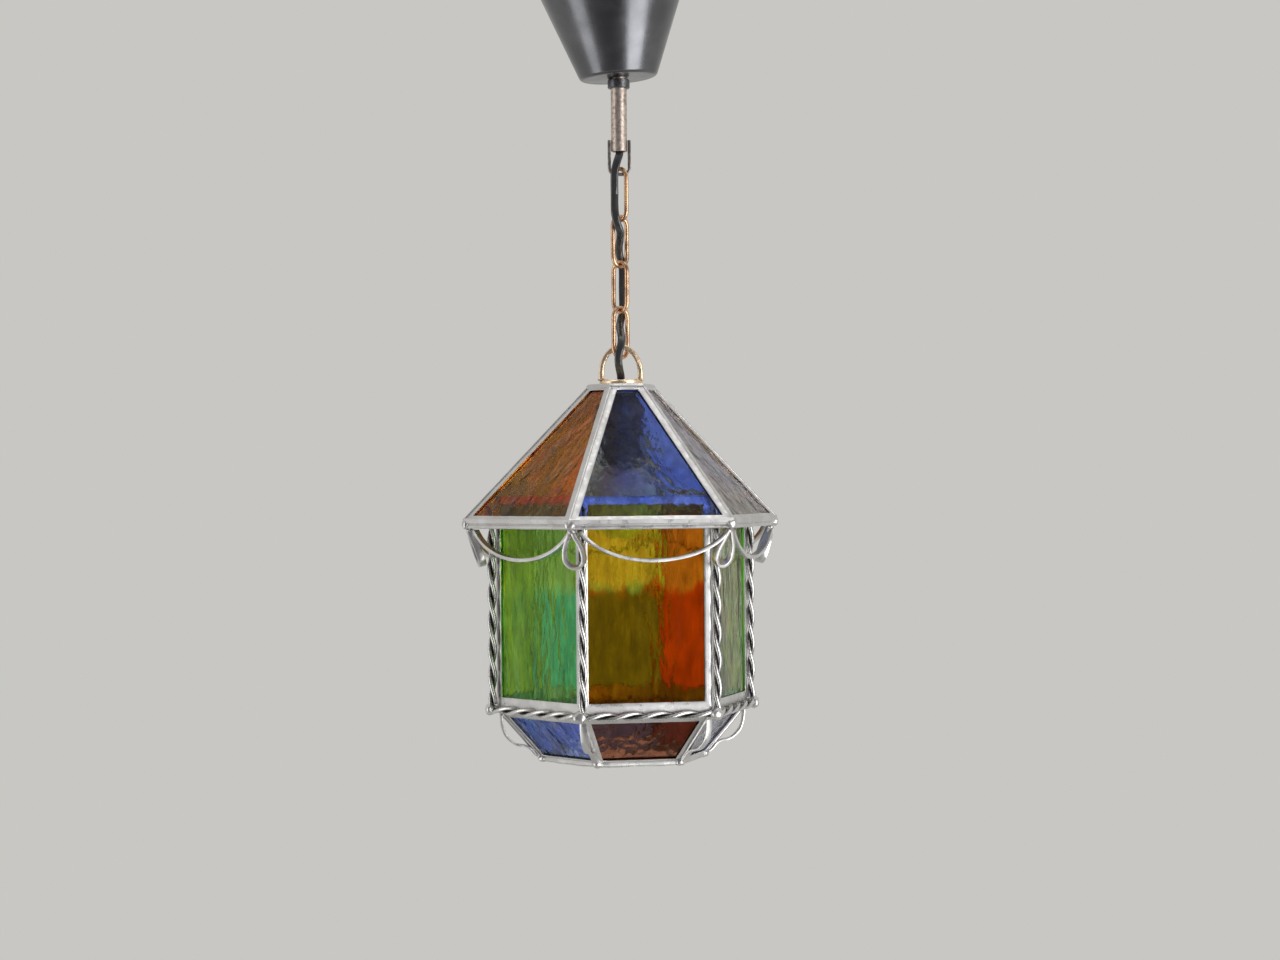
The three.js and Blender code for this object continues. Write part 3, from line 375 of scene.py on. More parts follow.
def metal_material(name, bright, dull, roughness, patch_mm, bump_mm, bump_scale_mm,
                   dull_share=0.5):
    """A metal whose tint and gloss change in patches, with a slightly uneven surface."""
    material, tree, shader, place = start_material(name)
    patches = noise_level(tree, place, patch_mm, 4, 0.6)
    edge = 0.62 - 0.24 * dull_share
    worn = between(tree, patches, edge - 0.12, edge + 0.12)
    gloss = noise_level(tree, place, patch_mm / 4, 3)
    fill_sockets(tree, shader, {
        "Base Color": blended(tree, worn, opaque(bright), opaque(dull)),
        "Roughness": between(tree, gloss, 0.3, 0.7, roughness * 0.75, roughness * 1.35),
        "Metallic": 1.0})
    add_bump(tree, shader, noise_level(tree, place, bump_scale_mm, 3), bump_mm)
    return material


def plastic_material(name, colour, roughness, grain_mm=0.35, bump_mm=0.015):
    material, tree, shader, place = start_material(name)
    speckle = between(tree, noise_level(tree, place, grain_mm * 8, 3), 0.3, 0.7)
    gloss = noise_level(tree, place, 4)
    fill_sockets(tree, shader, {
        "Base Color": blended(tree, speckle, scaled(colour, 0.85), scaled(colour, 1.2)),
        "Roughness": between(tree, gloss, 0.3, 0.7, roughness * 0.85, roughness * 1.2)})
    add_bump(tree, shader, noise_level(tree, place, grain_mm), bump_mm)
    return material


def twist_material(name, bright, dull, roughness):
    """Tinned wire, dark where the strands meet. The mesh says how deep each point lies."""
    material, tree, shader, place = start_material(name)
    depth = new_node(tree, "ShaderNodeAttribute", attribute_name="groove").outputs["Fac"]
    rubbed = calculated(tree, "ADD", depth, calculated(
        tree, "MULTIPLY", noise_level(tree, place, 3), 0.35))
    shade = between(tree, rubbed, 0.5, 0.95)
    gloss = noise_level(tree, place, 1.6)
    fill_sockets(tree, shader, {
        "Base Color": blended(tree, shade, opaque(bright), opaque(dull)),
        "Roughness": between(tree, gloss, 0.3, 0.7, roughness * 0.75, roughness * 1.4),
        "Metallic": 1.0})
    add_bump(tree, shader, noise_level(tree, place, 1.4, 3), 0.07)
    return material


# Glass


class Pane:
    """One pane's colours. A zone is another colour above a height, with a soft, uneven edge:
    painted light that makes the pane's upper part lighter. The last argument sets how many bright
    flecks of painted glint it shows.
    """

    def __init__(self, pale, deep, zone=None, at_mm=0.0, soft_mm=0.0, glint=1.0):
        self.pale, self.deep, self.zone = pale, deep, zone
        self.at_mm, self.soft_mm, self.glint = at_mm, soft_mm, glint


def height_of(tree, place):
    """How high a point lies, in millimetres."""
    made = new_node(
        tree, "ShaderNodeVectorMath", {0: place, 1: UP / MM}, operation="DOT_PRODUCT")
    return made.outputs["Value"]


def glass_material(name, pane, settings, seed):
    """Streaky cathedral glass: clouds of two tints, upright streaks, small bright flecks of painted
    glint, uneven faces.
    """
    material, tree, shader, place = start_material(name)
    moved = new_node(tree, "ShaderNodeMapping", {
        "Vector": place, "Location": (seed * 0.37, seed * 0.21, seed * 0.13)}).outputs[0]
    upright = stretched(tree, moved, (1.0, 1.0, 0.32))
    clouds = noise_level(tree, upright, settings.cloud_size / MM, 3, 0.55, 0.6)
    tint = blended(tree, between(tree, clouds, 0.36, 0.64), opaque(pane.pale), opaque(pane.deep))
    # Painted light: a lighter colour over the pane's upper part, with an uneven edge at the zone's
    # height
    if pane.zone:
        wander = between(tree, noise_level(tree, upright, 11, 4), 0.0, 1.0, -9, 9)
        where = calculated(tree, "ADD", height_of(tree, place), wander)
        share = between(tree, where, pane.at_mm - pane.soft_mm, pane.at_mm + pane.soft_mm)
        tint = blended(tree, share, tint, opaque(pane.zone))
    streaks = noise_level(tree, upright, settings.streak_size / MM, 4, 0.6)
    light = between(tree, streaks, 0.3, 0.72, 0.72, 1.25)
    # Painted glints: small bright flecks added to the glass's colour, as many as the pane's share
    # allows
    glint_flecks = noise_level(tree, stretched(tree, moved, (1.0, 1.0, 0.3)), 1.5, 2)
    light = calculated(tree, "ADD", light, between(tree, glint_flecks, 0.6, 0.75, 0.0, 0.9 * pane.glint))
    glow = new_node(tree, "ShaderNodeVectorMath", {0: tint, 3: light}, operation="SCALE")
    fill_sockets(tree, shader, {
        "Base Color": glow.outputs[0],
        "Roughness": settings.glass_roughness,
        "IOR": 1.5,
        "Transmission Weight": 1.0,
        "Specular Tint": opaque([settings.glass_gloss] * 3)})
    ripple = noise_level(tree, upright, 3, 3)
    uneven = calculated(tree, "ADD", noise_level(tree, upright, 13, 2), calculated(
        tree, "MULTIPLY", ripple, 0.14))
    add_bump(tree, shader, uneven, settings.glass_wave / MM)
    return material


# Properties


def colour_property(label, hint, default):
    return FloatVectorProperty(
        name=label, description=hint, default=default, size=3, min=0, max=1, subtype="COLOR")


def length_property(label, hint, default):
    return FloatProperty(
        name=label, description=hint, default=default, min=0, unit="LENGTH", precision=5)


class LanternSizes(bpy.types.PropertyGroup):
    leading_lift: length_property(
        "Leading lift", "How far the soldered leading stands over the plain frame", 0.35 * MM)
    leading_cover: length_property(
        "Leading cover", "How far the leading reaches over the glass past the frame", 0.4 * MM)
    solder_wave: length_property(
        "Solder wave", "Height of the waves on the soldered leading", 0.14 * MM)
    strand_radius: length_property(
        "Strand radius", "Half the thickness of one twisted wire", 1.45 * MM)
    hip_bead: length_property(
        "Hip bead", "Half the width of the bead along a skirt hip", 1.25 * MM)
    round_steps: IntProperty(
        name="Round steps", description="Faces round a turned piece", default=96, min=24, max=256)


class LanternFinishes(bpy.types.PropertyGroup):
    enamel: colour_property(
        "Canopy enamel", "Black satin enamel of the canopy", (0.15, 0.152, 0.163))
    nickel: colour_property("Nickel", "Bright nickel of the tube", (0.62, 0.53, 0.47))
    nickel_worn: colour_property("Worn nickel", "Brown stains on the tube", (0.36, 0.28, 0.235))
    steel: colour_property("Dark steel", "Stirrup and hanger", (0.52, 0.46, 0.44))
    steel_dull: colour_property("Dull steel", "Stains on the dark steel", (0.26, 0.22, 0.2))
    collar: colour_property("Collar steel", "Blackened steel of the collar", (0.16, 0.16, 0.17))
    chain: colour_property("Chain", "Brassy steel of the links", (0.8, 0.5, 0.3))
    chain_dull: colour_property("Chain stain", "Brown tarnish on the links", (0.48, 0.29, 0.18))
    brass: colour_property("Brass", "Cap loop and cap plate", (0.95, 0.74, 0.52))
    brass_dull: colour_property("Brass stain", "Tarnish on the brass", (0.6, 0.46, 0.32))
    solder: colour_property("Solder", "Bright tinned metal", (0.72, 0.715, 0.71))
    solder_dull: colour_property(
        "Dull solder", "Grey bloom on the tinned metal", (0.62, 0.605, 0.6))
    groove: colour_property("Groove", "Dirt between the twisted wires", (0.13, 0.12, 0.115))
    cable: colour_property("Cable", "Black cable sheath", (0.02, 0.02, 0.022))
    holder: colour_property("Lampholder", "Black moulded lampholder", (0.11, 0.105, 0.125))
    block: colour_property("Terminal block", "Pale moulded block", (0.6, 0.59, 0.55))
    lamp: colour_property("Lamp glass", "Soft white lamp", (0.93, 0.91, 0.88))


class LanternGlass(bpy.types.PropertyGroup):
    cloud_size: length_property("Clouds", "Size of the clouds in the glass", 26 * MM)
    streak_size: length_property("Streaks", "Width of the upright streaks", 5 * MM)
    glass_wave: length_property("Glass wave", "Height of the unevenness of the faces", 1.8 * MM)
    glass_roughness: FloatProperty(
        name="Roughness", description="How much the glass blurs", default=0.08, min=0, max=1)
    glass_gloss: FloatProperty(
        name="Gloss", description="How much the faces mirror, seen straight on", default=0.02,
        min=0, max=1)
    amber: colour_property("Amber", "Clear amber glass", (0.8, 0.22, 0.004))
    # Painted light: the lighter colour over the front body pane's upper part
    amber_lit_top: colour_property("Pale amber", "Yellow part of the amber glass", (0.95, 0.75, 0.06))
    orange: colour_property("Orange", "Orange-red glass", (0.6, 0.2, 0.1))
    green: colour_property("Green", "Green glass", (0.27, 0.7, 0.2))
    green_pale: colour_property("Pale green", "Pale streaks in the green glass", (0.42, 1.0, 0.3))
    teal: colour_property("Teal", "Blue-green glass", (0.23, 0.52, 0.6))
    moss: colour_property("Moss", "Green-brown glass", (0.3, 0.6, 0.2))
    straw: colour_property("Straw", "Yellow-brown glass", (0.7, 0.53, 0.08))
    bronze: colour_property("Bronze", "Brown-orange glass", (0.6, 0.25, 0.006))
    smoke: colour_property("Smoke", "Pale grey-brown glass", (0.74, 0.6, 0.56))
    honey: colour_property("Honey", "Pale honey glass", (0.64, 0.5, 0.24))
    blue: colour_property("Blue", "Blue glass", (0.33, 0.42, 0.8))
    blue_deep: colour_property("Deep blue", "Darker clouds in the blue glass", (0.24, 0.33, 0.75))
    amethyst: colour_property("Amethyst", "Brown-violet glass", (0.34, 0.13, 0.075))


def sizes():
    return bpy.context.scene.lantern_sizes


def finishes():
    return bpy.context.scene.lantern_finishes


# Each metal's bright and dull tints, roughness, patches, bump, bump scale and share of dull
METALS = {
    "tinned_solder": ("solder", "solder_dull", 0.34, 16, 0.07, 3.5, 0.45),
    "darkened_steel": ("steel", "steel_dull", 0.34, 4, 0.05, 1.1, 0.5),
    "soldered_brass": ("brass", "brass_dull", 0.3, 6, 0.08, 1.6, 0.25),
    "worn_nickel": ("nickel", "nickel_worn", 0.4, 2.4, 0.05, 0.9, 0.3),
    "chain_steel_wire": ("chain", "chain_dull", 0.3, 5, 0.05, 1.2, 0.4),
}
# Painted shade on the frames' hidden faces: its colour, and the heights over which it fades into
# the solder
FOOT_SHADE, FOOT_SHADE_MM = (0.5, 0.56, 0.46, 1), (-420, -335)


def metal(name):
    """One of the metals that several pieces use, made once."""
    bright, dull, *surface = METALS[name]
    return bpy.data.materials.get(name) or metal_material(
        name, getattr(finishes(), bright), getattr(finishes(), dull), *surface)


def foot_shaded_material():
    """Solder on the frames' hidden faces, with painted shade that darkens it towards the lantern's
    foot.
    """
    name = "foot_shaded_solder"
    if name in bpy.data.materials:
        return bpy.data.materials[name]
    material, tree, shader, place = start_material(name)
    # Painted shade: full below the lower height, gone above the upper one
    lit_share = between(tree, height_of(tree, place), *FOOT_SHADE_MM)
    fill_sockets(tree, shader, {
        "Base Color": blended(tree, lit_share, FOOT_SHADE, opaque(finishes().solder)),
        "Metallic": 1.0,
        "Roughness": 0.4})
    add_bump(tree, shader, noise_level(tree, place, 3.5, 3), 0.07)
    return material


def paint_node(node_name, material):
    """Gives a CAD node that stays in view a better finish."""
    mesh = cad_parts[node_name].data
    mesh.materials.clear()
    mesh.materials.append(material)


# Operators, one for each piece or group of like pieces


class LANTERN_OT_canopy(bpy.types.Operator):
    """Make the cone-shaped canopy and the collar that holds it up"""

    bl_idname = "lantern.canopy"
    bl_label = "Canopy and Collar"

    def execute(self, context):
        self.make_canopy()
        self.make_collar()
        return {"FINISHED"}

    @staticmethod
    def canopy_profile():
        lean = math.atan2(CANOPY_RIM_MM - CANOPY_FLOOR_MM, CANOPY_HEIGHT_MM)
        wall = CANOPY_WALL_MM / math.cos(lean)
        sweep = math.pi / 2 - lean
        centre = CANOPY_FLOOR_MM - CANOPY_EDGE_MM * math.tan(sweep / 2)

        def edge(radius, steps):
            angles = [-math.pi / 2 + sweep * i / steps for i in range(steps + 1)]
            return [
                (centre + radius * math.cos(a), CANOPY_EDGE_MM + radius * math.sin(a))
                for a in angles]

        return [
            (CANOPY_HOLE_MM, 0), *edge(CANOPY_EDGE_MM, 8), (CANOPY_RIM_MM, CANOPY_HEIGHT_MM),
            (CANOPY_RIM_MM - wall, CANOPY_HEIGHT_MM),
            *reversed(edge(CANOPY_EDGE_MM - CANOPY_WALL_MM, 6)), (CANOPY_HOLE_MM, CANOPY_WALL_MM),
        ]

    def make_canopy(self):
        bm = bmesh.new()
        turned(bm, self.canopy_profile(), sizes().round_steps)
        towards_viewer = Vector((math.sin(CABLE_TURN), -math.cos(CABLE_TURN), 0))
        lean = Matrix.Rotation(CANOPY_LEAN, 4, towards_viewer)
        place = Matrix.Translation((0, 0, CANOPY_FLOOR_Z_MM * MM)) @ lean
        bmesh.ops.transform(bm, matrix=place, verts=bm.verts)
        finish_piece(bm, "canopy_shell", "canopy_body", self.enamel(), ["canopy"])

    @staticmethod
    def enamel():
        material, tree, shader, place = start_material("satin_enamel")
        enamel = finishes().enamel
        mist = between(tree, noise_level(tree, place, 24, 4), 0.3, 0.7)
        tint = blended(tree, mist, scaled(enamel, 0.85), scaled(enamel, 1.15))
        scuffs = noise_level(tree, stretched(tree, place, (1, 1, 0.5)), 2.2, 6, 0.8)
        gloss = noise_level(tree, place, 9, 4)
        fill_sockets(tree, shader, {
            "Base Color": blended(tree, between(tree, scuffs, 0.74, 0.86), tint, SCUFF_COLOUR),
            "Roughness": between(tree, gloss, 0.3, 0.7, 0.22, 0.28),
            "Metallic": 1.0})
        add_bump(tree, shader, noise_level(tree, place, 0.7, 3), 0.01)
        return material

    @staticmethod
    def make_collar():
        colour = finishes().collar
        material = metal_material("collar_steel", colour, scaled(colour, 0.6), 0.34, 4, 0.05, 1.1)
        bm = bmesh.new()
        turned(bm, ring_profile(
            COLLAR_BORE_MM, COLLAR_RADIUS_MM, COLLAR_BOTTOM_MM, COLLAR_TOP_MM, 0.5),
            sizes().round_steps)
        finish_piece(bm, "collar_ring", "collar_body", material, ["collar"])
        paint_node("collar_screw", material)


class LANTERN_OT_tube(bpy.types.Operator):
    """Make the lamp tube and the stirrup, and finish the hanger inside the canopy"""

    bl_idname = "lantern.tube"
    bl_label = "Tube and Stirrup"

    def execute(self, context):
        bm = bmesh.new()
        turned(bm, ring_profile(
            TUBE_BORE_MM, TUBE_RADIUS_MM, TUBE_BOTTOM_MM, TUBE_TOP_MM, 0.3), sizes().round_steps)
        finish_piece(bm, "lamp_tube", "hanger", metal("worn_nickel"), ["tube"])
        bm = bmesh.new()
        softened(bm, "stirrup", 0.35)
        steel = metal("darkened_steel")
        finish_piece(bm, "stirrup_strip", "hanger", steel, ["stirrup"])
        paint_node("hanger_eye", steel)
        paint_node("hanger_nut", steel)
        paint_node("terminal_block", plastic_material("pale_block", finishes().block, 0.5))
        return {"FINISHED"}


class LANTERN_OT_chain(bpy.types.Operator):
    """Make the four oval wire links"""

    bl_idname = "lantern.chain"
    bl_label = "Chain Links"

    def execute(self, context):
        material = metal("chain_steel_wire")
        for number in range(1, 5):
            node = f"chain_link_{number}"
            low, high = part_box(node)
            bm = bmesh.new()
            self.make_link(bm, low.z / MM + LINK_WIRE_MM, high.z / MM - LINK_WIRE_MM)
            turn = Matrix.Rotation(LINK_TURN + (number - 1) % 2 * math.pi / 2, 3, "Z")
            bmesh.ops.rotate(bm, verts=bm.verts, cent=(0, 0, 0), matrix=turn)
            body = f"link_{number}"
            finish_piece(bm, f"{body}_wire", body, material, [node])
        return {"FINISHED"}

    @staticmethod
    def make_link(bm, low_mm, high_mm):
        """Spins a wire circle round the lower bow, up a bar, round the upper bow and down again."""
        radius, wire = LINK_BAR_MM * MM, LINK_WIRE_MM * MM
        low, high = low_mm * MM + radius, high_mm * MM - radius
        made = bmesh.ops.create_circle(bm, segments=LINK_STEPS, radius=wire)["verts"]
        bmesh.ops.translate(bm, verts=made, vec=(-radius, 0, low))
        geom = made + list(bm.edges)
        for centre_z, rise in ((low, high - low), (high, low - high)):
            geom = bmesh.ops.spin(
                bm, geom=geom, cent=(0, 0, centre_z), axis=(0, -1, 0), angle=math.pi,
                steps=LINK_STEPS)["geom_last"]
            geom = bmesh.ops.extrude_edge_only(bm, edges=edges_of(geom))["geom"]
            bmesh.ops.translate(bm, verts=verts_of(geom), vec=(0, 0, rise))
            geom = verts_of(geom) + edges_of(geom)
        bmesh.ops.remove_doubles(bm, verts=bm.verts, dist=MM * 0.01)
        bmesh.ops.recalc_face_normals(bm, faces=bm.faces)


# The cable's middle line, in the frame turned to CABLE_TURN, in millimetres
CABLE_POINTS_MM = [
    (0, 14.8, -23.6), (0, 14.4, -20.2), (0, 11.6, -17), (0, 7.4, -15.8), (0, 3.2, -17.3),
    (0, 0.5, -21.3), (0, 0, -27), (0, 0, -45), (0, 0, -66), (0, 0, -84), (0.1, -0.1, -91),
    (0.2, -1.2, -96), (-1.4, -3.8, -101.5), (-2.8, -5.0, -107.5), (-3.1, -5.0, -114),
    (-3.0, -5.0, -122), (-3.0, -6.6, -129), (-2.7, -8.3, -134.5), (-1.6, -7.8, -140),
    (0.2, -5.0, -145), (0.1, -1.1, -149.5), (-0.6, 2.4, -154), (-0.4, 5.2, -158.5),
    (0.9, 6.8, -163.5), (1.5, 7.0, -169), (1.4, 6.0, -179), (1.5, 6.9, -188),
    (1.5, 7.3, -194), (0.2, 6.3, -199.5), (-0.5, 3.6, -204), (0.1, 0, -208),
    (0.6, -3.4, -212), (0.1, -6.0, -216.5), (-1.2, -7.1, -221.5), (-1.4, -6.4, -226.5),
    (-0.8, -3.6, -231), (-0.1, -0.9, -234.8), (0, 0, -239), (0, 0, -247), (0, 0, -257.8),
]
CABLE_TWIST = (-126, 6, math.radians(24))  # its height and reach in millimetres, and its most
CABLE_STEPS = 5  # from one of those points to the next
CABLE_ARCH_POINTS = 8  # the first ones, in the canopy and the tube's top, where it also rises
# Each length of cable: the bodies it joins, where it ends, and where it starts and stops bending
CABLE_LENGTHS = [
    ("hanger", "link_1", -122, -100, -118),
    ("link_1", "link_2", -151, -128, -148),
    ("link_2", "link_3", -179.5, -157, -176),
    ("link_3", "link_4", -208, -186, -205),
    ("link_4", "lantern", -400, -214, -233),
]


class LANTERN_OT_cable(bpy.types.Operator):
    """Make the flat black cable that runs through the chain, in one length for each joint"""

    bl_idname = "lantern.cable"
    bl_label = "Cable"

    def execute(self, context):
        material = plastic_material("cable_sheath", finishes().cable, 0.14, 0.6, 0.003)
        shader = material.node_tree.nodes["Principled BSDF"]
        shader.inputs["Specular IOR Level"].default_value = 1.0
        points = spline_points([Vector(p) for p in CABLE_POINTS_MM], CABLE_STEPS)
        arch = CABLE_ARCH_POINTS * CABLE_STEPS
        start = 0
        for number, (upper, lower, end_mm, first_mm, last_mm) in enumerate(CABLE_LENGTHS, 1):
            end = start + 1
            while end < len(points) - 1 and (end < arch or points[end].z > end_mm):
                end += 1
            bm = bmesh.new()
            self.sweep(bm, points, start, end)
            turn = Matrix.Rotation(CABLE_TURN, 3, "Z")
            bmesh.ops.rotate(bm, verts=bm.verts, cent=(0, 0, 0), matrix=turn)
            self.finish_length(bm, number, upper, lower, (first_mm, last_mm), material)
            start = end
        return {"FINISHED"}

    @staticmethod
    def frame_at(points, index):
        """Stands the section on its middle line, with its flat side forward but for one twist."""
        before, after = points[max(index - 1, 0)], points[min(index + 1, len(points) - 1)]
        tangent = (after - before).normalized()
        height, reach, most = CABLE_TWIST
        twist = most * math.exp(-((points[index].z - height) / reach) ** 2)
        wide = Vector((math.cos(twist), math.sin(twist), 0))
        wide = (wide - tangent * wide.dot(tangent)).normalized()
        matrix = Matrix((wide, tangent.cross(wide), tangent)).transposed().to_4x4()
        matrix.translation = points[index] * MM
        return matrix

    def sweep(self, bm, points, start, end):
        ring = bmesh.ops.create_circle(
            bm, segments=20, radius=CABLE_HALF_THICKNESS_MM * MM)["verts"]
        spread = (CABLE_HALF_WIDTH_MM - CABLE_HALF_THICKNESS_MM) * MM
        for vert in ring:
            vert.co.x += math.copysign(spread, vert.co.x) if abs(vert.co.x) > MM * 1e-3 else 0
        here = self.frame_at(points, start)
        bmesh.ops.transform(bm, matrix=here, verts=ring)
        bmesh.ops.contextual_create(bm, geom=list(bm.edges))
        edges = list(bm.edges)
        for index in range(start + 1, end + 1):
            there = self.frame_at(points, index)
            made = bmesh.ops.extrude_edge_only(bm, edges=edges)["geom"]
            edges = edges_of(made)
            bmesh.ops.transform(bm, matrix=there @ here.inverted(), verts=verts_of(made))
            here = there
        bmesh.ops.contextual_create(bm, geom=edges)
        bmesh.ops.recalc_face_normals(bm, faces=bm.faces)

    @staticmethod
    def finish_length(bm, number, upper, lower, bend_mm, material):
        piece = make_object(bm, f"cable_{number}", material, math.radians(60))
        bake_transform(piece)
        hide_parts("cable")


class LANTERN_OT_cap(bpy.types.Operator):
    """Make the half-round cap loop, the cap plate and the solder that joins them"""

    bl_idname = "lantern.cap"
    bl_label = "Cap Loop and Plate"

    def execute(self, context):
        brass = metal("soldered_brass")
        bm = bmesh.new()
        softened(bm, "cap_loop", LOOP_EDGE_MM)
        foot = Matrix.Translation((0, 0, -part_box("cap_loop")[0].z))
        bmesh.ops.scale(bm, vec=(1, 1, LOOP_STRETCH), space=foot, verts=bm.verts)
        finish_piece(bm, "cap_loop_strip", "lantern", brass, ["cap_loop"])
        low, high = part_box("cap_plate")
        bm = bmesh.new()
        bottom, top, radius, bore = low.z / MM, high.z / MM, high.x / MM, 5.3
        turned(bm, [
            (bore, bottom), (radius - 0.4, bottom), (radius, bottom + 0.5), (radius, top - 0.9),
            (radius - 0.9, top), (bore, top),
        ], sizes().round_steps)
        finish_piece(bm, "cap_disc", "lantern", brass, ["cap_plate"])
        bm = bmesh.new()
        turn = math.radians(-8)
        for side in (0, 1):
            for index, (radius_mm, lift) in enumerate(((12.8, 0.5), (9.9, 0.3))):
                drop = around(radius_mm, turn + side * math.pi, top + lift)
                blob(bm, drop, (1.9, 2.5, 0.9), 3 * side + index, turn)
        finish_piece(bm, "cap_solder", "lantern", brass)
        for node in ("nipple", "nipple_nut"):
            paint_node(node, metal("worn_nickel"))
        return {"FINISHED"}


class LANTERN_OT_lamp(bpy.types.Operator):
    """Make the ribbed lampholder and the lamp"""

    bl_idname = "lantern.lamp"
    bl_label = "Lampholder and Lamp"

    def execute(self, context):
        self.make_holder()
        self.make_lamp()
        return {"FINISHED"}

    @staticmethod
    def make_holder():
        low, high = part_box("lampholder")
        bottom, top, radius = low.z / MM, high.z / MM, 14
        ribs, rib_depth, rib_zone = 7, 0.9, 27
        socket, cavity, floor = 5.3, 7.3, top - 12
        pitch = rib_zone / ribs
        profile = [(0, floor - 4), (cavity, floor - 4), (cavity, bottom), (radius, bottom)]
        for i in range(ribs):
            start = bottom + 2 + i * pitch
            profile += [
                (radius, start), (radius - rib_depth, start + pitch * 0.3),
                (radius - rib_depth, start + pitch * 0.7)]
        profile += [
            (radius, bottom + 2 + rib_zone), (radius, top - 8), (radius - 1.2, top - 5),
            (socket + 4, top), (socket, top), (socket, floor), (0, floor)]
        bm = bmesh.new()
        turned(bm, profile, 64)
        material = plastic_material("holder_moulding", finishes().holder, 0.3)
        finish_piece(bm, "lampholder_body", "lantern", material, ["lampholder"])

    @staticmethod
    def make_lamp():
        low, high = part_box("bulb")
        top, bottom = high.z / MM, low.z / MM
        radius, neck = 22.5, 7
        centre = bottom + radius
        last = math.radians(52)
        steps = 20
        ball = []
        for i in range(steps + 1):
            at = -math.pi / 2 + (last + math.pi / 2) * i / steps
            ball.append((radius * math.cos(at), centre + radius * math.sin(at)))
        ball[0] = (0, bottom)
        neck_z = -290.8
        curve = bezier_points(
            Vector(ball[-1]), Vector((10.5, centre + 19.2)), Vector((neck, neck_z - 2)),
            Vector((neck, neck_z)), 6)
        bm = bmesh.new()
        turned(bm, ball + [tuple(p) for p in curve[1:]] + [(neck, top), (0, top)], 64)
        material, _, shader, _ = start_material("lamp_envelope")
        shader.inputs["Base Color"].default_value = opaque(finishes().lamp)
        shader.inputs["Roughness"].default_value = 0.3
        shader.inputs["Transmission Weight"].default_value = 0.1
        finish_piece(bm, "lamp_envelope", "lantern", material, ["bulb"])


class LANTERN_OT_panes(bpy.types.Operator):
    """Give each pane its own streaky coloured glass"""

    bl_idname = "lantern.panes"
    bl_label = "Glass Panes"

    def execute(self, context):
        g = context.scene.lantern_glass
        panes = {
            "roof": [
                Pane(g.blue, g.blue_deep),
                Pane(g.smoke, g.smoke),
                Pane(g.blue, g.blue_deep),
                Pane(g.honey, g.honey),
                Pane(g.moss, g.honey),
                # This pane shows fewer painted glints
                Pane(g.bronze, g.amber, glint=0.4),
            ],
            "body": [
                # The front and the back body pane get painted light over their upper parts
                Pane(g.amber, g.amber, g.amber_lit_top, -364, 3),
                Pane(g.green, g.green_pale),
                Pane(g.orange, g.orange),
                Pane(g.teal, g.teal, g.honey, -371, 5),
                Pane(g.straw, g.straw),
                Pane(g.green, g.green_pale),
            ],
            "skirt": [
                Pane(g.amethyst, g.amethyst),
                Pane(g.blue_deep, g.blue),
                Pane(g.amethyst, g.amethyst),
                Pane(g.blue_deep, g.blue),
                Pane(g.blue, g.blue_deep),
                Pane(g.blue_deep, g.blue),
            ],
        }
        seed = 0
        for storey, looks in panes.items():
            for number, pane in enumerate(looks, 1):
                seed += 1
                name = f"{storey}_glass_{number}"
                paint_node(name, glass_material(f"{name}_tint", pane, g, seed))
        return {"FINISHED"}


# Each storey's leading: lower and upper edge, and its cames below, above and beside the glass
LEADING = {
    "roof": (ROOF_LOW, ROOF_HIGH, 3.2, 2.4, 4.3),
    "body": (BODY_LOW, BODY_HIGH, 7.5, 5, 3.8),
    "skirt": (SKIRT_LOW, SKIRT_HIGH, 1.6, 4.8, 3.8),
}
LEADING_DEPTH_MM, LEADING_EDGE_MM, LEADING_STEP_MM = 0.35, 0.3, 6


class LANTERN_OT_leading(bpy.types.Operator):
    """Lay the soldered leading over each storey's frame"""

    bl_idname = "lantern.leading"
    bl_label = "Leading"

    def execute(self, context):
        material = metal("tinned_solder")
        for name, (low, high, below, above, beside) in LEADING.items():
            bm = bmesh.new()
            for index in range(SIDES):
                self.lay_side(bm, low, high, (below, above, beside), index)
            wave(bm, sizes().solder_wave / MM, 9, seed=len(name))
            finish_piece(bm, f"{name}_leading", "lantern", material)
            # The frames get solder with painted shade towards the foot
            paint_node(f"{name}_frame", foot_shaded_material())
        return {"FINISHED"}

    @staticmethod
    def lay_side(bm, low, high, cames, index):
        """A flat ring round one pane, given its thickness and rounded edges."""
        length, half_at, matrix = hex_side(low, high)
        below, above, beside = cames
        cover = sizes().leading_cover / MM
        lift = sizes().leading_lift / MM
        side = bmesh.new()
        rows = []
        for inset, low_s, high_s in (
            (0.0, 0.0, length), (beside + cover, below + cover, length - above - cover),
        ):
            corners = []
            for s, sign in ((low_s, -1), (low_s, 1), (high_s, 1), (high_s, -1)):
                across = sign * (half_at(s) - inset)
                corners.append(Vector((across, s, lift)))
            verts = [bmesh.ops.create_vert(side, co=c)["vert"][0] for c in corners]
            for i in range(4):
                pair = [verts[i], verts[(i + 1) % 4]]
                rows += bmesh.ops.contextual_create(side, geom=pair)["edges"]
        bmesh.ops.bridge_loops(side, edges=rows)
        bmesh.ops.recalc_face_normals(side, faces=side.faces)
        side.normal_update()
        if side.faces[:][0].normal.z < 0:
            bmesh.ops.reverse_faces(side, faces=side.faces)
        bmesh.ops.solidify(side, geom=list(side.faces), thickness=lift + LEADING_DEPTH_MM)
        bmesh.ops.recalc_face_normals(side, faces=side.faces)
        round_edges(side, LEADING_EDGE_MM, math.radians(40))
        for _ in range(3):
            long_edges = [e for e in side.edges if e.calc_length() > LEADING_STEP_MM]
            bmesh.ops.subdivide_edges(side, edges=long_edges, cuts=2, use_grid_fill=True)
        add_part(bm, side, Matrix.Rotation(index * SIDE_ANGLE, 4, "Z") @ matrix)


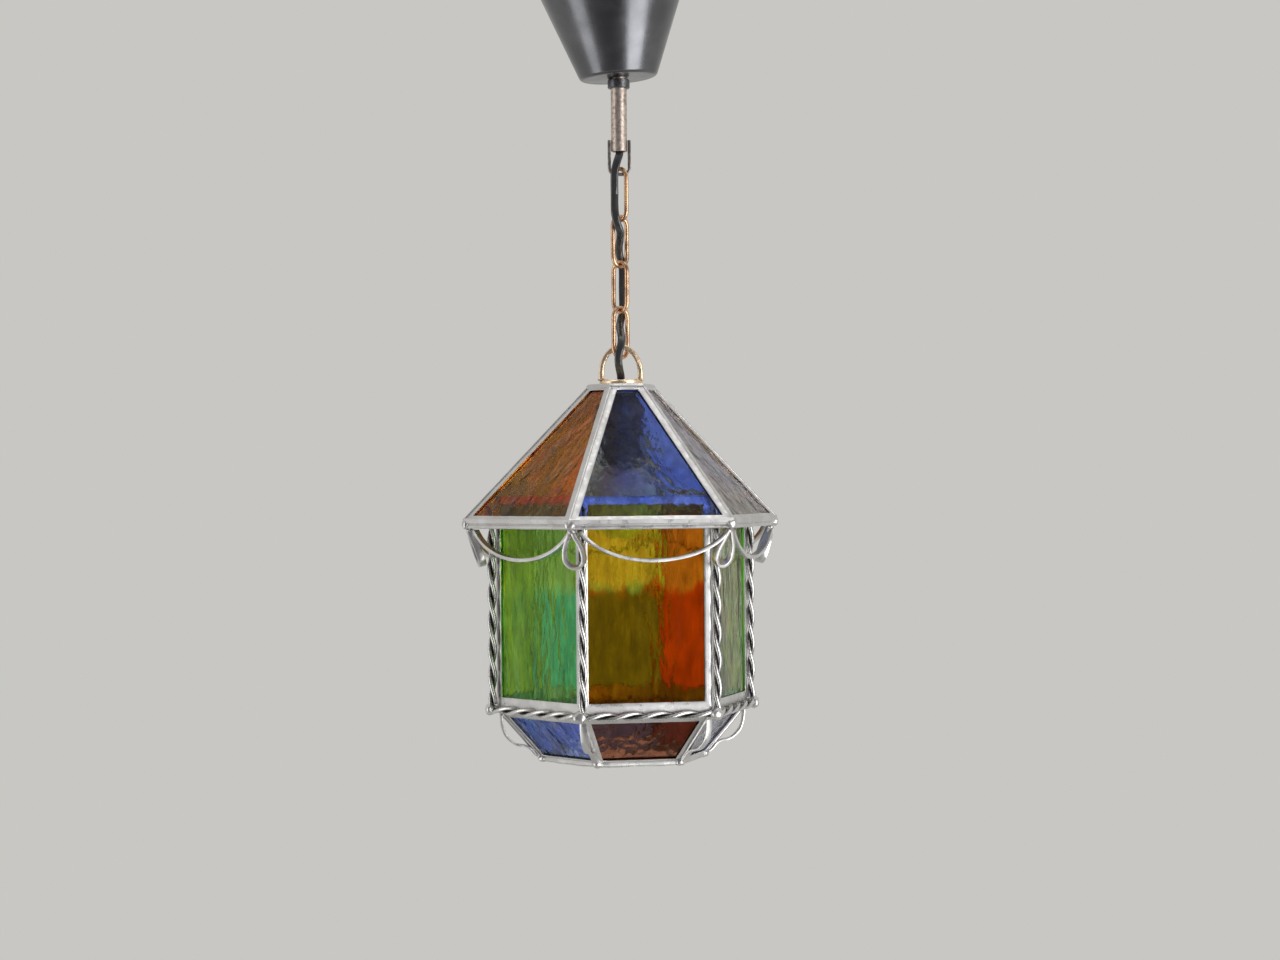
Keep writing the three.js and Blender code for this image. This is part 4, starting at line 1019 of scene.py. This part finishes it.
# Each rail's profile, as radius and height at its corners, and how uneven it is
RAILS = {
    "eave_rail": ([
        (97, -322.6), (99.7, -322.6), (100.4, -323.2), (100.5, -325.7), (99.9, -326.3),
        (98.9, -326.6), (99.3, -327.1), (99.3, -328.5), (98.7, -329.1), (94.2, -329.1),
        (94.2, -323.2)], 0.12),
    "lower_rim": ([
        (48.2, -474.1), (51.6, -474.2), (52.9, -473.2), (53.1, -471.4), (52.2, -469.9),
        (50.6, -469.6), (48.2, -471.0)], 0.45),
    "roof_top_edge": ([
        (17.5, -240.3), (20.4, -240.2), (21.6, -241.0), (22.2, -242.6), (21.4, -244.0),
        (18, -242.4)], 0.25),
}


class LANTERN_OT_rails(bpy.types.Operator):
    """Make the rounded eave rail, the rim, the roof's top edge and the beads along the corners"""

    bl_idname = "lantern.rails"
    bl_label = "Rails and Beads"

    def execute(self, context):
        material = metal("tinned_solder")
        for name, (profile_mm, unevenness_mm) in RAILS.items():
            bm = bmesh.new()
            self.hex_rail(bm, profile_mm, unevenness_mm)
            finish_piece(bm, name, "lantern", material)
        for name, low, high, share in (
            ("roof_hip_beads", ROOF_LOW, ROOF_HIGH, 0.6),
            ("skirt_hip_beads", SKIRT_LOW, SKIRT_HIGH, 1.0),
        ):
            bm = bmesh.new()
            for index in range(SIDES):
                self.bead(bm, low, high, share * sizes().hip_bead, index)
            wave(bm, 0.2, 7, seed=2)
            finish_piece(bm, name, "lantern", material)
        return {"FINISHED"}

    @staticmethod
    def hex_rail(bm, profile_mm, unevenness_mm):
        turned(bm, profile_mm, SIDES)
        along = [e for e in bm.edges if e.calc_length() > 10 * MM]
        bmesh.ops.subdivide_edges(bm, edges=along, cuts=11, use_grid_fill=True)
        wave(bm, unevenness_mm, 8, seed=1)

    @staticmethod
    def bead(bm, low, high, radius, index):
        proud_mm = 0.2
        start, end = (
            around(corner + proud_mm, corner_angle(index), z) for corner, z in (low, high))
        line = (end - start) * MM
        steps = round((end - start).length / 4)
        made = bmesh.ops.create_circle(bm, segments=10, radius=radius)["verts"]
        edges = list({e for v in made for e in v.link_edges})
        bmesh.ops.contextual_create(bm, geom=edges)
        turn = line.to_track_quat("Z", "X").to_matrix().to_4x4()
        bmesh.ops.transform(bm, matrix=Matrix.Translation(start * MM) @ turn, verts=made)
        for _ in range(steps):
            made = bmesh.ops.extrude_edge_only(bm, edges=edges)["geom"]
            bmesh.ops.translate(bm, verts=verts_of(made), vec=line / steps)
            edges = [e for e in edges_of(made) if len(e.link_faces) == 1]
        bmesh.ops.contextual_create(bm, geom=edges)
        bmesh.ops.recalc_face_normals(bm, faces=bm.faces)


class LANTERN_OT_twists(bpy.types.Operator):
    """Make the twisted wire pairs on the corners and round the body's foot"""

    bl_idname = "lantern.twists"
    bl_label = "Twisted Wire"

    def execute(self, context):
        colours = finishes()
        material = twist_material("twisted_tinned_wire", colours.solder, colours.groove, 0.26)
        for index in range(SIDES):
            bm = bmesh.new()
            length = TWIST_HIGH_MM - TWIST_LOW_MM
            self.twisted_pair(bm, length, length / TWIST_PITCH_MM, 0)
            self.mark_grooves(bm)
            foot = Vector((TWIST_RADIUS_MM, TWIST_SHIFT_MM, TWIST_LOW_MM)) * MM
            turn = Matrix.Rotation(corner_angle(index), 4, "Z")
            bmesh.ops.transform(bm, matrix=turn @ Matrix.Translation(foot), verts=bm.verts)
            finish_piece(
                bm, f"corner_pair_{index + 1}", "lantern", material,
                [f"corner_twist_{index + 1}"])
        bm = bmesh.new()
        for index in range(SIDES):
            side = bmesh.new()
            self.twisted_pair(side, RING_RADIUS_MM, RING_TURNS, index * math.pi)
            self.mark_grooves(side)
            start = around(RING_RADIUS_MM, index * SIDE_ANGLE, RING_Z_MM) * MM
            end = around(RING_RADIUS_MM, (index + 1) * SIDE_ANGLE, RING_Z_MM) * MM
            turn = (end - start).to_track_quat("Z", "X").to_matrix().to_4x4()
            add_part(bm, side, Matrix.Translation(start) @ turn)
        finish_piece(bm, "foot_pair", "lantern", material, ["bottom_twist"])
        return {"FINISHED"}

    @staticmethod
    def twisted_pair(bm, length_mm, turns, phase):
        """Two wires wound left-handed round +Z: each is a circle spun with a rise at each step."""
        radius = sizes().strand_radius
        steps = round(turns * 16)
        for strand in range(2):
            ring = bmesh.ops.create_circle(bm, segments=12, radius=radius)["verts"]
            edges = list({e for v in ring for e in v.link_edges})
            at = phase + strand * math.pi
            bmesh.ops.translate(bm, verts=ring, vec=around(radius, at, 0))
            bmesh.ops.contextual_create(bm, geom=edges)
            last = bmesh.ops.spin(
                bm, geom=ring + edges, cent=(0, 0, 0), axis=UP, angle=-turns * math.tau,
                steps=steps, dvec=(0, 0, length_mm * MM / steps))["geom_last"]
            bmesh.ops.contextual_create(bm, geom=edges_of(last))
        bmesh.ops.recalc_face_normals(bm, faces=bm.faces)

    @staticmethod
    def mark_grooves(bm):
        """Stores how near each point lies to the pair's middle: 1 in the groove, 0 on the crest."""
        layer = bm.verts.layers.float.new("groove")
        radius = sizes().strand_radius
        for vert in bm.verts:
            reach = math.hypot(vert.co.x, vert.co.y) / (2 * radius)
            vert[layer] = min(max(1.25 - 1.1 * reach, 0), 1)


class LANTERN_OT_garlands(bpy.types.Operator):
    """Make the strip festoons under the eave, each with the drop loop at its corner"""

    bl_idname = "lantern.garlands"
    bl_label = "Garlands"

    def execute(self, context):
        material = metal("tinned_solder")
        for index in range(SIDES):
            bm = bmesh.new()
            self.festoon(bm)
            self.drop(bm)
            wave(bm, 0.25, 6, seed=index)
            turn = Matrix.Rotation(index * SIDE_ANGLE, 4, "Z")
            bmesh.ops.transform(bm, matrix=turn, verts=bm.verts)
            name = f"garland_{index + 1}"
            finish_piece(bm, f"{name}_strip", "lantern", material, [name])
        return {"FINISHED"}

    @staticmethod
    def festoon(bm):
        top = EAVE_BOTTOM_MM - HANG_GAP_MM - RIBBON_THICKNESS_MM / 2
        end = DROP_RADIUS_MM / 2
        start = -end + FESTOON_START_MM + RIBBON_WIDTH_MM / 2
        depth, fullness = FESTOON_SAG_MM * 4 / 3, 0.6
        points = bezier_points(
            Vector((start, top)), Vector((start * fullness, top - depth)),
            Vector((end * fullness, top - depth)), Vector((end, top)), 36)
        part = bmesh.new()
        strap(part, points, RIBBON_WIDTH_MM, RIBBON_THICKNESS_MM)
        add_part(bm, part, Matrix.Translation((0, -FESTOON_DEPTH_MM * MM, 0)))

    @staticmethod
    def drop(bm):
        half, bottom = DROP_HALF_WIDTH_MM - RIBBON_THICKNESS_MM / 2, -DROP_LENGTH_MM
        waist, neck = bottom * 0.45, 1.05
        down = bezier_points(
            Vector((neck, -0.4)), Vector((neck + half * 0.35, waist)), Vector((half, waist)),
            Vector((half, bottom)), 12)
        arc = [Vector((half * math.cos(a), bottom - half * math.sin(a)))
               for a in (math.pi * i / 14 for i in range(1, 14))]
        points = down + arc + [Vector((-p.x, p.y)) for p in reversed(down)]
        part = bmesh.new()
        strap(part, points, RIBBON_WIDTH_MM, RIBBON_THICKNESS_MM)
        top = EAVE_BOTTOM_MM - HANG_GAP_MM - RIBBON_WIDTH_MM / 2 * math.sin(DROP_TILT)
        place = Matrix.Translation(Vector((0, -DROP_RADIUS_MM, top)) * MM)
        turn = Matrix.Rotation(SIDE_ANGLE / 2, 4, "Z")
        add_part(bm, part, turn @ place @ Matrix.Rotation(DROP_TILT, 4, "X"))


# The scroll's middle line, as shares of the hip's length from its top and distances from it
SCROLL_POINTS = [
    (0.076, 1.0), (0.21, 4.9), (0.38, 7.6), (0.57, 6.6),
    (0.695, 2.9), (0.79, 1.6), (0.89, 1.7), (0.96, 1.0),
]


class LANTERN_OT_scrolls(bpy.types.Operator):
    """Make the bent strips below the body's corners"""

    bl_idname = "lantern.scrolls"
    bl_label = "Skirt Scrolls"

    def execute(self, context):
        material = metal("tinned_solder")
        top, foot = Vector(SKIRT_HIGH), Vector(SKIRT_LOW)
        hip = foot - top
        outward = Vector((-hip.y, hip.x)).normalized()
        points = spline_points(
            [top + hip * share + outward * proud for share, proud in SCROLL_POINTS], 5)
        for index in range(SIDES):
            bm = bmesh.new()
            strap(bm, points, SCROLL_WIDTH_MM, SCROLL_THICKNESS_MM, 0.3)
            wave(bm, 0.2, 5, seed=index)
            turn = Matrix.Rotation(corner_angle(index), 4, "Z")
            bmesh.ops.transform(bm, matrix=turn, verts=bm.verts)
            finish_piece(
                bm, f"scroll_{index + 1}_strip", "lantern", material,
                [f"skirt_scroll_{index + 1}"])
        return {"FINISHED"}


# Drops of solder at the corners: radius and height, half sizes, and the first seed
SOLDER_DROPS = {
    "eave_solder": (98.2, -326.5, (2.6, 3.4, 3.2), 98.2),
    "foot_solder": (84.2, -440.8, (3.4, 4.2, 3.8), 84.2),
    "rim_solder": (51.4, -472, (3.0, 3.3, 2.6), 51.4),
    "garland_solder": (DROP_RADIUS_MM, EAVE_BOTTOM_MM - 1.6, (2.2, 2.6, 1.9), 0),
}


class LANTERN_OT_solder(bpy.types.Operator):
    """Put the drops of solder on the corners of the eave, the foot and the rim"""

    bl_idname = "lantern.solder"
    bl_label = "Solder Drops"

    def execute(self, context):
        material = metal("tinned_solder")
        for name, (radius, z, size, first_seed) in SOLDER_DROPS.items():
            bm = bmesh.new()
            for index in range(SIDES):
                azimuth = corner_angle(index)
                blob(bm, around(radius, azimuth, z), size, index + first_seed, azimuth)
            finish_piece(bm, name, "lantern", material)
        return {"FINISHED"}


# Studio


def towards(angle, distance, height):
    """A place round the lantern: angle is to the right of the camera, as seen from it."""
    azimuth = VIEW_AZIMUTH + math.radians(angle)
    return Vector((distance * math.cos(azimuth), distance * math.sin(azimuth), height))


class LANTERN_OT_studio(bpy.types.Operator):
    """Set up the camera, the soft lights, the pale surroundings and the floor"""

    bl_idname = "lantern.studio"
    bl_label = "Studio"

    def execute(self, context):
        self.add_camera(context.scene)
        self.add_world(context.scene)
        self.add_floor(context.scene)
        self.add_light("right_softbox", towards(52, 1.9, -0.75), (1.3, 2.3), 32)
        self.add_light("left_softbox", towards(-68, 1.9, -0.7), (0.9, 2.3), 9.5)
        self.add_light("front_softbox", towards(25, 1.9, -0.62), (0.6, 0.6), 0.8)
        self.add_light("top_softbox", Vector((0.1, 0.2, 1.3)), (1.6, 1.6), 7)
        context.scene.view_settings.view_transform = "Standard"
        return {"FINISHED"}

    @staticmethod
    def add_camera(scene):
        camera = bpy.data.objects.new("camera", bpy.data.cameras.new("camera"))
        camera.data.lens = CAMERA_LENS
        camera.data.sensor_width = CAMERA_SENSOR
        camera.data.clip_end = 30
        forward = -towards(0, 1, 0)
        right = forward.cross(UP)
        roll = Quaternion(forward, CAMERA_ROLL)
        axes = Matrix((roll @ right, roll @ UP, -forward)).transposed()
        camera.matrix_world = axes.to_4x4()
        camera.location = CAMERA_PLACE
        scene.collection.objects.link(camera)
        scene.camera = camera

    @staticmethod
    def add_world(scene):
        """Plain grey surroundings and soft light. Reflections see the camera's side dimmer."""
        world = bpy.data.worlds.new("studio")
        world.use_nodes = True
        scene.world = world
        tree = world.node_tree
        rays = new_node(tree, "ShaderNodeLightPath").outputs
        glossy, through = rays["Is Glossy Ray"], rays["Is Transmission Ray"]
        seen = calculated(tree, "MAXIMUM", calculated(
            tree, "MAXIMUM", rays["Is Camera Ray"], through), glossy)
        direction = new_node(tree, "ShaderNodeTexCoord").outputs["Generated"]
        backwards = tuple(towards(0, 1, 0))
        facing = new_node(
            tree, "ShaderNodeVectorMath", {0: direction, 1: backwards},
            operation="DOT_PRODUCT").outputs["Value"]
        mirrored = calculated(tree, "SUBTRACT", glossy, through)
        dimmer = calculated(tree, "MULTIPLY", between(tree, facing, 0.1, 0.85), mirrored)
        backdrop = blended(tree, dimmer, BACKDROP, BACKDROP_DIMMED)
        colour = blended(tree, seen, SOFT_LIGHT, backdrop)
        tree.links.new(colour, tree.nodes["Background"].inputs["Color"])

    @staticmethod
    def add_floor(scene):
        """A round floor under the lantern that fades into the backdrop at its edge."""
        bm = bmesh.new()
        bmesh.ops.create_circle(bm, cap_ends=True, segments=96, radius=FLOOR_RADIUS)
        bmesh.ops.translate(bm, verts=bm.verts, vec=(0, 0, -FLOOR_DEPTH))
        mesh = bpy.data.meshes.new("floor")
        bm.to_mesh(mesh)
        bm.free()
        material, tree, shader, place = start_material("floor_paper")
        reach = new_node(
            tree, "ShaderNodeVectorMath", {0: place, 1: UP * FLOOR_DEPTH}, operation="ADD")
        radius = new_node(
            tree, "ShaderNodeVectorMath", {0: reach.outputs[0]}, operation="LENGTH")
        fill_sockets(tree, shader, {
            "Base Color": FLOOR_COLOUR,
            "Roughness": 0.9,
            "Alpha": between(tree, radius.outputs["Value"], 0.4, 0.95, 1.0, 0.0)})
        mesh.materials.append(material)
        floor = bpy.data.objects.new("floor", mesh)
        scene.collection.objects.link(floor)

    @staticmethod
    def add_light(name, place, size, watts):
        light = bpy.data.lights.new(name, "AREA")
        light.shape = "RECTANGLE"
        light.size, light.size_y = size
        light.energy = watts
        lamp = bpy.data.objects.new(name, light)
        lamp.matrix_world = (LIGHT_TARGET - place).to_track_quat("-Z", "Y").to_matrix().to_4x4()
        lamp.location = place
        bpy.context.scene.collection.objects.link(lamp)


OPERATORS = (
    LANTERN_OT_canopy,
    LANTERN_OT_tube,
    LANTERN_OT_chain,
    LANTERN_OT_cable,
    LANTERN_OT_cap,
    LANTERN_OT_lamp,
    LANTERN_OT_panes,
    LANTERN_OT_leading,
    LANTERN_OT_rails,
    LANTERN_OT_twists,
    LANTERN_OT_garlands,
    LANTERN_OT_scrolls,
    LANTERN_OT_solder,
    LANTERN_OT_studio,
)


class LANTERN_PT_sidebar(bpy.types.Panel):
    bl_label = "Lantern"
    bl_idname = "LANTERN_PT_sidebar"
    bl_space_type = "VIEW_3D"
    bl_region_type = "UI"
    bl_category = "Lantern"

    def draw(self, context):
        for operator in OPERATORS:
            self.layout.operator(operator.bl_idname)
        for group in ("lantern_sizes", "lantern_finishes", "lantern_glass"):
            values = getattr(context.scene, group)
            box = self.layout.box()
            for name in values.__annotations__:
                box.prop(values, name)


CLASSES = (LanternSizes, LanternFinishes, LanternGlass, *OPERATORS, LANTERN_PT_sidebar)


def register():
    for cls in CLASSES:
        bpy.utils.register_class(cls)
    bpy.types.Scene.lantern_sizes = PointerProperty(type=LanternSizes)
    bpy.types.Scene.lantern_finishes = PointerProperty(type=LanternFinishes)
    bpy.types.Scene.lantern_glass = PointerProperty(type=LanternGlass)


def unregister():
    del bpy.types.Scene.lantern_glass
    del bpy.types.Scene.lantern_finishes
    del bpy.types.Scene.lantern_sizes
    for cls in reversed(CLASSES):
        bpy.utils.unregister_class(cls)


def main():
    register()
    for operator in OPERATORS:
        family, name = operator.bl_idname.split(".")
        getattr(getattr(bpy.ops, family), name)()


if __name__ == "__main__":
    main()
